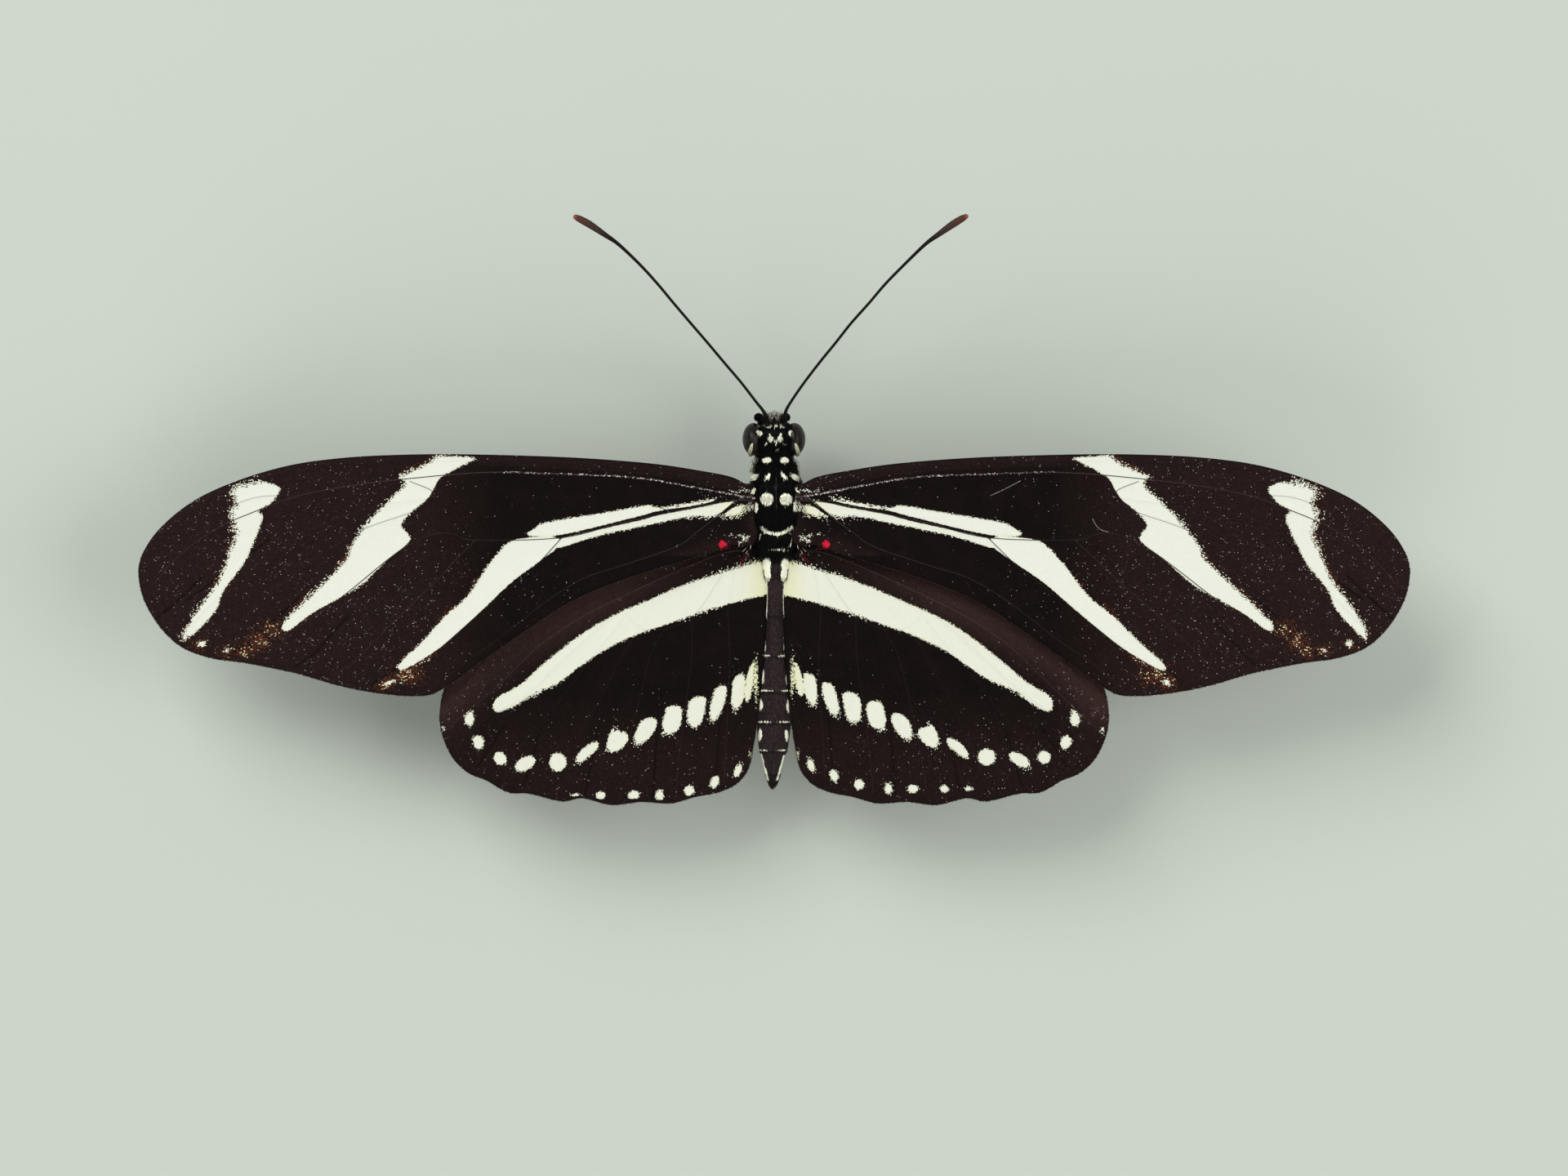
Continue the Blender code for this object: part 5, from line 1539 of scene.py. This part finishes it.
# Scales and hair of the palps: row spacing, spacing round, length, width and lift.
PALP_COAT = [(0.06, 0.055, 0.2, 0.06, 9), (0.14, 0.12, 0.3, 0.028, 18)]
TONGUE_CENTRE = (5.35, 3.95)
TONGUE_OUTER = 0.92
TONGUE_INNER = 0.3
TONGUE_TURNS = 1.35
TONGUE_START = 98.0
TONGUE_RADIUS = 0.12
TONGUE_TIP_RADIUS = 0.07
TONGUE_JOINT = 0.09
TONGUE_PROFILE = [(0.0, 0.92), (0.5, 1.06)]
TONGUE_LEAD = [(0, 5.0, 5.75, 0.14), (0, 5.05, 5.35, 0.13)]
TONGUE_STEPS = 60
TONGUE_SIDES = 14


def make_tongue(finish):
    """Two ringed half tubes side by side, coiled under the head."""
    share = np.linspace(0, 1, TONGUE_STEPS)
    angle = np.radians(TONGUE_START - 360 * TONGUE_TURNS * share)
    reach = TONGUE_OUTER + (TONGUE_INNER - TONGUE_OUTER) * share
    radius = TONGUE_RADIUS + (TONGUE_TIP_RADIUS - TONGUE_RADIUS) * share
    coil = np.stack([
        0 * share, TONGUE_CENTRE[0] + reach * np.cos(angle),
        TONGUE_CENTRE[1] + reach * np.sin(angle), radius,
    ], axis=1)
    line = smooth_curve(np.vstack([TONGUE_LEAD, coil]), 4)
    forms = Forms()
    for turn in SIDES.values():
        rows = ringed(line, TONGUE_JOINT, TONGUE_PROFILE)
        rows[:, 0] += HEAD_SHIFT + turn * rows[:, 3] * 0.62
        vertices, faces, along = tube_form(rows, TONGUE_SIDES)
        ring = ring_values([0.0, 1.0], rows, TONGUE_SIDES)
        forms.add(vertices, faces, {"share": along[:, 0], "joint": ring})
    add_piece(forms.mesh("tongue_coil"), [finish], ["proboscis"])


def make_palp(side, finish):
    """A palp that curves up before the face, covered in scales and longer hair."""
    turn = SIDES[side]
    chance = np.random.default_rng(SEEDS["palp"])
    line = smooth_curve(PALP)
    line[:, 0] = line[:, 0] * turn - HEAD_SHIFT * 1.4
    vertices, faces, place = tube_form(even_steps(line, 0.1), 18)
    forms = Forms()
    values = {"cream": -1.0, "groove": 0.0, "tail": 0.3, "shade": 0.5, "along": 0.4}
    forms.add(vertices, faces, values, 0.05 + 0.9 * place)
    for row, gap, *blade in PALP_COAT:
        root, lie, out, place = tube_roots(line, row, gap, chance)
        shade = chance.uniform(0, 1, len(root))
        cream = (-out[:, 1] - out[:, 2] - 0.9) * 0.2 + (shade - 0.5) * 0.1 - (place[:, 0] > 0.55)
        values = {"cream": cream, "groove": 0.0, "tail": 0.3, "shade": shade}
        forms.add_blades(root, lie, out, *blade, values, 0.05 + 0.9 * place)
    add_piece(forms.mesh(f"palp_{side}_coat"), [finish], [f"palp_{side}"])


def tongue_finish():
    colours = bpy.context.scene.longwing_colours
    finish = Finish("tongue", {"Specular IOR Level": 0.5})
    grain = finish.noise(finish.place(), 0.06 * MM, 3.0)
    share = finish.attribute("joint") * 0.6 + grain * 0.4
    finish.feed("Base Color", finish.mix(share, colours.tongue_dark, colours.tongue))
    finish.feed("Roughness", 0.3 + grain * 0.2)
    finish.feed("Normal", finish.bump(grain, 0.4, 0.01 * MM))
    return finish.material


# Legs, right side: where each grows from the body (y and degrees under its side), and the points of
# each part with the radius there. The last points lie on the floor.
LEGS = {
    "foreleg": {
        "root": (2.6, 62), "coxa": [(1.0, 3.2, 4.42, 0.2)],
        "femur": [(1.0, 3.2, 4.42, 0.17), (1.1, 3.7, 4.45, 0.19), (1.15, 4.2, 4.62, 0.14)],
        "tibia": [(1.15, 4.2, 4.62, 0.15), (1.15, 4.5, 4.85, 0.13), (1.1, 4.75, 5.1, 0.08)],
        "foot": [],
    },
    "midleg": {
        "root": (0.3, 62), "coxa": [(1.95, 0.45, 3.75, 0.28)],
        "femur": [(1.95, 0.45, 3.75, 0.2), (3.4, 0.8, 4.75, 0.22), (4.7, 1.05, 5.5, 0.17),
                  (5.0, 1.14, 5.55, 0.15)],
        "tibia": [(5.0, 1.14, 5.55, 0.14), (5.25, 1.22, 5.3, 0.15), (6.0, 1.4, 4.15, 0.14),
                  (7.1, 1.65, 2.3, 0.14), (7.85, 1.85, 0.85, 0.15), (8.05, 1.9, 0.45, 0.13)],
        "foot": [(8.05, 1.9, 0.42, 0.11), (8.35, 1.98, 0.17, 0.1), (9.1, 2.15, 0.11, 0.095),
                 (10.2, 2.38, 0.1, 0.09), (11.0, 2.55, 0.1, 0.08)],
    },
    "hindleg": {
        "root": (-2.1, 62), "coxa": [(1.6, -3.0, 4.05, 0.26)],
        "femur": [(1.6, -3.0, 4.05, 0.2), (2.7, -4.7, 4.75, 0.22), (3.4, -5.95, 5.05, 0.17),
                  (3.58, -6.25, 5.05, 0.15)],
        "tibia": [(3.58, -6.25, 5.05, 0.14), (3.8, -6.55, 4.8, 0.15), (4.5, -7.7, 3.6, 0.14),
                  (5.4, -9.3, 1.8, 0.14), (5.95, -10.3, 0.72, 0.15), (6.08, -10.5, 0.42, 0.13)],
        "foot": [(6.08, -10.5, 0.4, 0.11), (6.25, -10.8, 0.17, 0.1), (6.6, -11.5, 0.11, 0.095),
                 (7.15, -12.55, 0.1, 0.09), (7.55, -13.3, 0.1, 0.08)],
    },
}
FOOT_PROFILE = [(0.0, 0.7), (0.08, 0.85), (0.6, 1.0), (0.95, 1.15)]
FOOT_JOINTS = 5
LEG_STEP = 0.08
LEG_SIDES = 18
FOOT_SIDES = 14
SPIKE_SIDES = 8
# Claws and spurs: how far ahead, apart and up from the root each point lies, and its radius.
CLAW = [(0.0, 0.04, 0.0, 0.035), (0.12, 0.09, 0.04, 0.028), (0.24, 0.1, -0.05, 0.008)]
SPUR = [(0.0, 0.0, 0.0, 0.035), (0.168, 0.16, 0.0, 0.03), (0.2604, 0.26, 0.0, 0.006)]
# Scales and hair of the legs: row spacing, spacing round, length, width and lift.
LEG_SCALES = (0.09, 0.06, 0.17, 0.05, 9)
LEG_HAIR = (0.3, 0.2, 0.34, 0.022, 30)
FORELEG_HAIR = (0.12, 0.12, 0.42, 0.025, 26)
# The middle of the body that the legs' roots point to.
BODY_LEVEL = 6.6


def in_band(place, band):
    """Places of a leg's part on the map, which has five bands."""
    return place * (0.9, 0.18) + (0.05, 0.2 * band + 0.01)


def spike(table, root, ahead, apart):
    """The middle line of a claw or a spur."""
    return smooth_curve([(*(root + ahead * on + apart * off + (0, 0, up)), radius)
                         for on, off, up, radius in table], 5)


def make_leg(name, side, finish):
    """A leg with its coxa, thigh, shin with spurs, five-jointed foot and claws, and its scales."""
    turn = SIDES[side]
    parts = LEGS[name]
    chance = np.random.default_rng(len(name))
    y, under = parts["root"]
    base = body_point(np.array([y]), -np.radians([under]))[0] - (middle_x(y), 0, 0)
    start = base + unit((0.0, y, BODY_LEVEL) - base) * 0.25
    knee = np.array(parts["coxa"][0][:3])
    wide = parts["coxa"][0][3]
    coxa = [(*start, wide * 1.25), (*(base * 0.6 + knee * 0.4), wide * 1.2), parts["coxa"][0]]
    forms = Forms()

    def lay(line, sides, band):
        """Adds one tube, its unwrap in one of five bands of the map."""
        vertices, faces, place = tube_form(line, sides)
        if turn < 0:
            faces = [f[:, ::-1] for f in faces]
        forms.add(vertices * (turn, 1, 1), faces, {"strip": -1.0, "shade": 0.5, "along": 0.5},
                  in_band(place, band))

    lines = {
        part: even_steps(smooth_curve(points), LEG_STEP)
        for part, points in (("coxa", coxa), ("femur", parts["femur"]), ("tibia", parts["tibia"]))
    }
    for band, line in enumerate(lines.values()):
        lay(line, LEG_SIDES, band)
    if parts["foot"]:
        foot = smooth_curve(parts["foot"])
        lines["foot"] = ringed(foot, lengths_along(foot)[-1] / FOOT_JOINTS, FOOT_PROFILE)
        lay(lines["foot"], FOOT_SIDES, 3)
        way = line_directions(foot)[0][-1]
        square = unit(np.cross(way, (0, 0, 1)))
        tibia = lines["tibia"][:, :3]
        shin = unit(tibia[-2] - tibia[-6])
        for lean in (-1, 1):
            lay(spike(CLAW, foot[-1, :3], way, square * lean), SPIKE_SIDES, 4)
            lay(spike(SPUR, tibia[-2], shin, square * lean), SPIKE_SIDES, 4)
    for band, (part, line) in enumerate(lines.items()):
        coats = [LEG_SCALES]
        if part != "foot":
            coats.append(LEG_HAIR)
        if name == "foreleg":
            coats.append(FORELEG_HAIR)
        for row, gap, *blade in coats:
            root, lie, out, place = tube_roots(line, row, gap, chance)
            root, lie, out = (v * (turn, 1, 1) for v in (root, lie, out))
            shade = chance.uniform(0, 1, len(root))
            strip = (-out[:, 2] if part in ("femur", "coxa") else out[:, 0] * turn) - 0.8
            values = {"strip": strip, "shade": shade}
            forms.add_blades(root, lie, out, *blade, values, in_band(place, band))
    add_piece(forms.mesh(f"{name}_{side}_coat"), [finish], [f"{name}_{side}"])


def leg_finish():
    """Black-brown scales with a cream line under the thigh and along the shin."""
    colours = bpy.context.scene.longwing_colours
    finish = Finish("leg", {"Specular IOR Level": 0.25})
    shade, along = finish.attribute("shade"), finish.attribute("along")
    grain = finish.noise(finish.place(), 0.06 * MM, 2.0)
    tone = (0.5 + shade * 0.8) * (0.7 + along * 0.4) + (grain - 0.5) * 0.3
    dark = finish.shaded(colours.leg, tone)
    pale = (finish.attribute("strip") + (shade - 0.5) * 0.3).edge(0.1)
    finish.feed("Base Color", finish.mix(pale * 0.85, dark, colours.body_cream))
    finish.feed("Roughness", 0.4 + shade * 0.25)
    finish.feed("Normal", finish.bump(grain, 0.3, 0.01 * MM))
    return finish.material


FRINGE_GAP = 0.05
FRINGE_LENGTH = 0.2
FRINGE_WIDTH = 0.055
FRINGE_LIFT = 1.5
# How far inside the rim and off the wing's middle the fringe starts, and where along the wing.
FRINGE_INSET = 0.14
FRINGE_LEVEL = 0.03
FRINGE_START = {"forewing": 3.0, "hindwing": 1.0}


def make_fringe(kind, side, cloth, finish):
    """Short scales along the wing's rim, one row from each face."""
    turn = SIDES[side]
    chance = np.random.default_rng(SEEDS["fringe"])
    drop = WINGS[kind][-1]
    rim = even_steps(cloth.closed_rim, FRINGE_GAP)
    way = unit(np.gradient(rim, axis=0))
    area = np.sum(rim[:-1, 0] * rim[1:, 1] - rim[1:, 0] * rim[:-1, 1])
    outward = np.stack([way[:, 1], -way[:, 0]], axis=1) * np.sign(area)
    kept = (outward[:, 1] < 0.45) & (rim[:, 0] > FRINGE_START[kind])
    rim, outward = rim[kept], outward[kept]
    forms = Forms()
    for face in (1, -1):
        shift = chance.uniform(-0.4, 0.4, len(rim))[:, None] * FRINGE_GAP
        along = np.stack([-outward[:, 1], outward[:, 0]], axis=1)
        flat = rim - outward * FRINGE_INSET + along * shift
        height = wing_height(flat[:, 0], flat[:, 1]) - drop + face * FRINGE_LEVEL
        root = np.column_stack([flat[:, 0] * turn, flat[:, 1], height])
        lie = np.column_stack([outward[:, 0] * turn, outward[:, 1], np.zeros(len(rim))])
        lean = chance.uniform(-0.3, 0.3, len(rim))[:, None]
        up = np.array([0, 0, float(face)])
        lie = unit(lie + np.cross(lie, up) * lean)
        out = np.tile(up, (len(rim), 1))
        shade = chance.uniform(0, 1, len(rim))
        size = FRINGE_LENGTH * chance.uniform(0.7, 1.15, len(rim))
        forms.add_blades(root, lie, out, size, FRINGE_WIDTH, FRINGE_LIFT, {"shade": shade},
                         cloth.map_places(flat))
    add_piece(forms.mesh(f"{kind}_{side}_fringe"), [finish])


def fringe_finish():
    colours = bpy.context.scene.longwing_colours
    finish = Finish("wing fringe", {"Specular IOR Level": 0.2})
    shade, along = finish.attribute("shade"), finish.attribute("along")
    finish.feed("Base Color", finish.mix(shade * 0.8 * along, colours.ground, colours.fringe))
    finish.feed("Roughness", 0.6 + shade * 0.2)
    return finish.material


def colour_property(name, description, *chart):
    """A linear colour from the three numbers, 0 to 255, that a colour chart gives."""
    shares = [number / 255 for number in chart]
    colour = [c / 12.92 if c <= 0.04045 else ((c + 0.055) / 1.055) ** 2.4 for c in shares]
    return bpy.props.FloatVectorProperty(
        name=name, description=description, subtype="COLOR", size=3, min=0.0, max=1.0,
        default=colour,
    )


class LongwingColours(bpy.types.PropertyGroup):
    ground: colour_property("Ground", "Black-brown of the wings", 17, 11, 10)
    brown_ground: colour_property("Brown ground", "Browner stretches of the wings", 37, 25, 23)
    pale: colour_property("Pale bands", "Cream of the wing bands", 236, 238, 224)
    warm_pale: colour_property("Warm bands", "Yellow cream beside the body", 228, 226, 178)
    sheen: colour_property("Satin zone", "Brown of the hindwing's satin zone", 63, 45, 41)
    vein: colour_property("Veins", "Pinkish grey of the veins", 190, 165, 165)
    worn: colour_property("Worn scales", "Pale specks where scales stand up", 226, 212, 208)
    rust: colour_property("Rust scales", "Rust brown at the band ends", 112, 58, 34)
    crimson: colour_property("Crimson", "Spots at the wing roots", 226, 34, 58)
    under_ground: colour_property("Underside ground", "Dull brown of the underside", 58, 44, 38)
    under_pale: colour_property("Underside bands", "Dull cream of the underside", 222, 220, 192)
    fringe: colour_property("Fringe", "Grey brown of the wing fringes", 92, 78, 74)
    thorax: colour_property("Thorax", "Black of the head and thorax", 15, 14, 14)
    abdomen: colour_property("Abdomen", "Brown-black of the abdomen", 50, 39, 40)
    groove: colour_property("Groove", "Grey of the line down the thorax", 110, 98, 96)
    body_cream: colour_property("Body marks", "Cream of the body's marks", 255, 255, 230)
    eye_dark: colour_property("Eye", "Dark brown of the eyes", 15, 11, 10)
    # Painted highlight: the lighter streaks that stand for the light reflected in the eyes.
    eye_streak_highlight: colour_property("Eye streaks", "Lighter brown in the eyes", 72, 58, 55)
    feeler: colour_property("Feelers", "Black of the feelers", 17, 14, 14)
    club: colour_property("Club", "Brown of the clubs", 62, 47, 43)
    club_end: colour_property("Club end", "Red brown of the clubs' ends", 86, 52, 42)
    club_tip: colour_property("Club tip", "Orange of the clubs' tips", 150, 88, 62)
    tongue: colour_property("Tongue", "Brown of the tongue", 92, 58, 34)
    tongue_dark: colour_property("Tongue grooves", "Dark brown between the rings", 38, 24, 17)
    leg: colour_property("Legs", "Black-brown of the legs", 34, 28, 26)


class LongwingWings(bpy.types.PropertyGroup):
    scale_relief: bpy.props.FloatProperty(
        name="Scale relief", description="How strongly the rows of scales show in the light",
        default=0.5, min=0.0, max=1.0, subtype="FACTOR",
    )


class LongwingBody(bpy.types.PropertyGroup):
    coat_length: bpy.props.FloatProperty(
        name="Coat length", description="Length of the body's scales and hair as a share of the table",
        default=1.0, min=0.2, max=2.0, subtype="FACTOR",
    )
    coat_relief: bpy.props.FloatProperty(
        name="Coat relief", description="How strongly the grain of the scales shows in the light",
        default=0.3, min=0.0, max=1.0, subtype="FACTOR",
    )


class LongwingStage(bpy.types.PropertyGroup):
    floor_width: bpy.props.FloatProperty(
        name="Floor width", description="Side of the square floor", default=4.0, min=0.2,
        unit="LENGTH",
    )
    camera_height: bpy.props.FloatProperty(
        name="Camera height", description="Height of the camera over the floor", default=0.459,
        min=0.1, unit="LENGTH",
    )
    view_width: bpy.props.FloatProperty(
        name="View width", description="Width of what the camera sees at the wings",
        default=0.1035, min=0.02, unit="LENGTH",
    )
    floor_colour: colour_property("Floor", "Pale floor", 205, 212, 200)
    key_power: bpy.props.FloatProperty(
        name="Main light", description="Power of the large soft light", default=2.0, min=0.0,
        unit="POWER",
    )


class LONGWING_OT_wings(bpy.types.Operator):
    """Makes the four wings with their scales, veins and markings"""

    bl_idname = "longwing.wings"
    bl_label = "Wings"

    def execute(self, context):
        finishes = [wing_finish("wing upperside", False), wing_finish("wing underside", True)]
        fringe = fringe_finish()
        for kind in WINGS:
            cloth = WingCloth(kind)
            for side in SIDES:
                make_wing(kind, side, cloth, finishes)
                make_fringe(kind, side, cloth, fringe)
        return {"FINISHED"}


class LONGWING_OT_skin(bpy.types.Operator):
    """Makes the one skin of the head, thorax and abdomen"""

    bl_idname = "longwing.skin"
    bl_label = "Skin"

    def execute(self, context):
        make_skin(skin_finish())
        return {"FINISHED"}


class LONGWING_OT_coat(bpy.types.Operator):
    """Makes the scales and hair of the head, thorax and abdomen, and the eyes with their rims"""

    bl_idname = "longwing.coat"
    bl_label = "Coat and eyes"

    def execute(self, context):
        coat = coat_finish()
        for name in COATS:
            make_coat(name, coat)
        eye = eye_finish()
        for side in SIDES:
            make_eye(side, eye, coat)
            make_palp(side, coat)
            make_caps(side, coat)
        return {"FINISHED"}


class LONGWING_OT_feelers(bpy.types.Operator):
    """Makes the two feelers with their clubs"""

    bl_idname = "longwing.feelers"
    bl_label = "Feelers"

    def execute(self, context):
        finish = feeler_finish()
        for side in SIDES:
            make_feeler(side, finish)
        return {"FINISHED"}


class LONGWING_OT_tongue(bpy.types.Operator):
    """Makes the coiled tongue"""

    bl_idname = "longwing.tongue"
    bl_label = "Tongue"

    def execute(self, context):
        make_tongue(tongue_finish())
        return {"FINISHED"}


class LONGWING_OT_legs(bpy.types.Operator):
    """Makes the six legs"""

    bl_idname = "longwing.legs"
    bl_label = "Legs"

    def execute(self, context):
        finish = leg_finish()
        for name in LEGS:
            for side in SIDES:
                make_leg(name, side, finish)
        return {"FINISHED"}


# The point that the camera stands over, and the level where the view has its width.
VIEW_CENTRE = (0.647, -5.122)
WING_LEVEL = 9.0
SENSOR = 36.0
# Lamps in metres: place, side, and share of the main light's power.
LAMPS = {
    "key light": ((-0.25, 0.32, 0.42), 0.36, 1.0),
    "fill light": ((0.38, -0.05, 0.36), 0.4, 0.55),
    "back light": ((-0.1, -0.4, 0.3), 0.35, 0.35),
}
LAMP_AIM = (0, -0.005, 0.005)
SURROUND_COLOUR = (0.93, 0.97, 1.0, 1.0)
SURROUND_STRENGTH = 0.3


class LONGWING_OT_stage(bpy.types.Operator):
    """Makes the pale floor, the soft lights and the camera straight above"""

    bl_idname = "longwing.stage"
    bl_label = "Stage"

    def execute(self, context):
        stage = context.scene.longwing_stage
        half = stage.floor_width / 2 / MM
        corners = [(-half, -half, 0), (half, -half, 0), (half, half, 0), (-half, half, 0)]
        mesh = make_mesh("floor", corners, [np.array([[0, 1, 2, 3]])])
        finish = Finish("pale floor", {"Roughness": 0.9, "Specular IOR Level": 0.2})
        cloud = finish.noise(finish.place(), 0.05, 2.0)
        shaded = tuple(c * 0.96 for c in stage.floor_colour)
        finish.feed("Base Color", finish.mix(cloud, shaded, tuple(stage.floor_colour)))
        mesh.materials.append(finish.material)
        floor = bpy.data.objects.new("floor", mesh)
        context.scene.collection.objects.link(floor)
        for name, (place, size, share) in LAMPS.items():
            lamp = bpy.data.lights.new(name, "AREA")
            lamp.size = size
            lamp.energy = stage.key_power * share
            holder = bpy.data.objects.new(name, lamp)
            holder.location = place
            aim = Vector(LAMP_AIM) - holder.location
            holder.rotation_euler = aim.to_track_quat("-Z", "Y").to_euler()
            context.scene.collection.objects.link(holder)
        world = bpy.data.worlds.new("soft surround")
        world.use_nodes = True
        background = world.node_tree.nodes["Background"]
        background.inputs["Color"].default_value = SURROUND_COLOUR
        background.inputs["Strength"].default_value = SURROUND_STRENGTH
        context.scene.world = world
        context.scene.view_settings.view_transform = "Standard"
        lens = bpy.data.cameras.new("camera above")
        lens.sensor_width = SENSOR
        reach = stage.camera_height - WING_LEVEL * MM
        lens.lens = SENSOR * reach / stage.view_width
        lens.clip_start = 0.01
        lens.clip_end = 10.0
        camera = bpy.data.objects.new("camera above", lens)
        camera.location = (VIEW_CENTRE[0] * MM, VIEW_CENTRE[1] * MM, stage.camera_height)
        context.scene.collection.objects.link(camera)
        context.scene.camera = camera
        return {"FINISHED"}


class LONGWING_PT_panel(bpy.types.Panel):
    """Lists the sizes, the colours and the pieces"""

    bl_label = "Zebra longwing"
    bl_idname = "LONGWING_PT_panel"
    bl_space_type = "VIEW_3D"
    bl_region_type = "UI"
    bl_category = "Longwing"

    def draw(self, context):
        scene = context.scene
        for group in (getattr(scene, name) for name in GROUPS):
            for name in group.__annotations__:
                self.layout.prop(group, name)
        for operator in OPERATORS:
            self.layout.operator(operator.bl_idname)


GROUPS = {
    "longwing_colours": LongwingColours,
    "longwing_wings": LongwingWings,
    "longwing_body": LongwingBody,
    "longwing_stage": LongwingStage,
}
OPERATORS = [
    LONGWING_OT_wings, LONGWING_OT_skin, LONGWING_OT_coat, LONGWING_OT_feelers, LONGWING_OT_tongue,
    LONGWING_OT_legs, LONGWING_OT_stage,
]


def register():
    for kind in [*GROUPS.values(), *OPERATORS, LONGWING_PT_panel]:
        bpy.utils.register_class(kind)
    for name, group in GROUPS.items():
        setattr(bpy.types.Scene, name, bpy.props.PointerProperty(type=group))


def unregister():
    for name in GROUPS:
        delattr(bpy.types.Scene, name)
    for kind in [LONGWING_PT_panel, *reversed(OPERATORS), *reversed(list(GROUPS.values()))]:
        bpy.utils.unregister_class(kind)


def main():
    register()
    for operator in OPERATORS:
        group, name = operator.bl_idname.split(".")
        getattr(getattr(bpy.ops, group), name)()


if __name__ == "__main__":
    main()
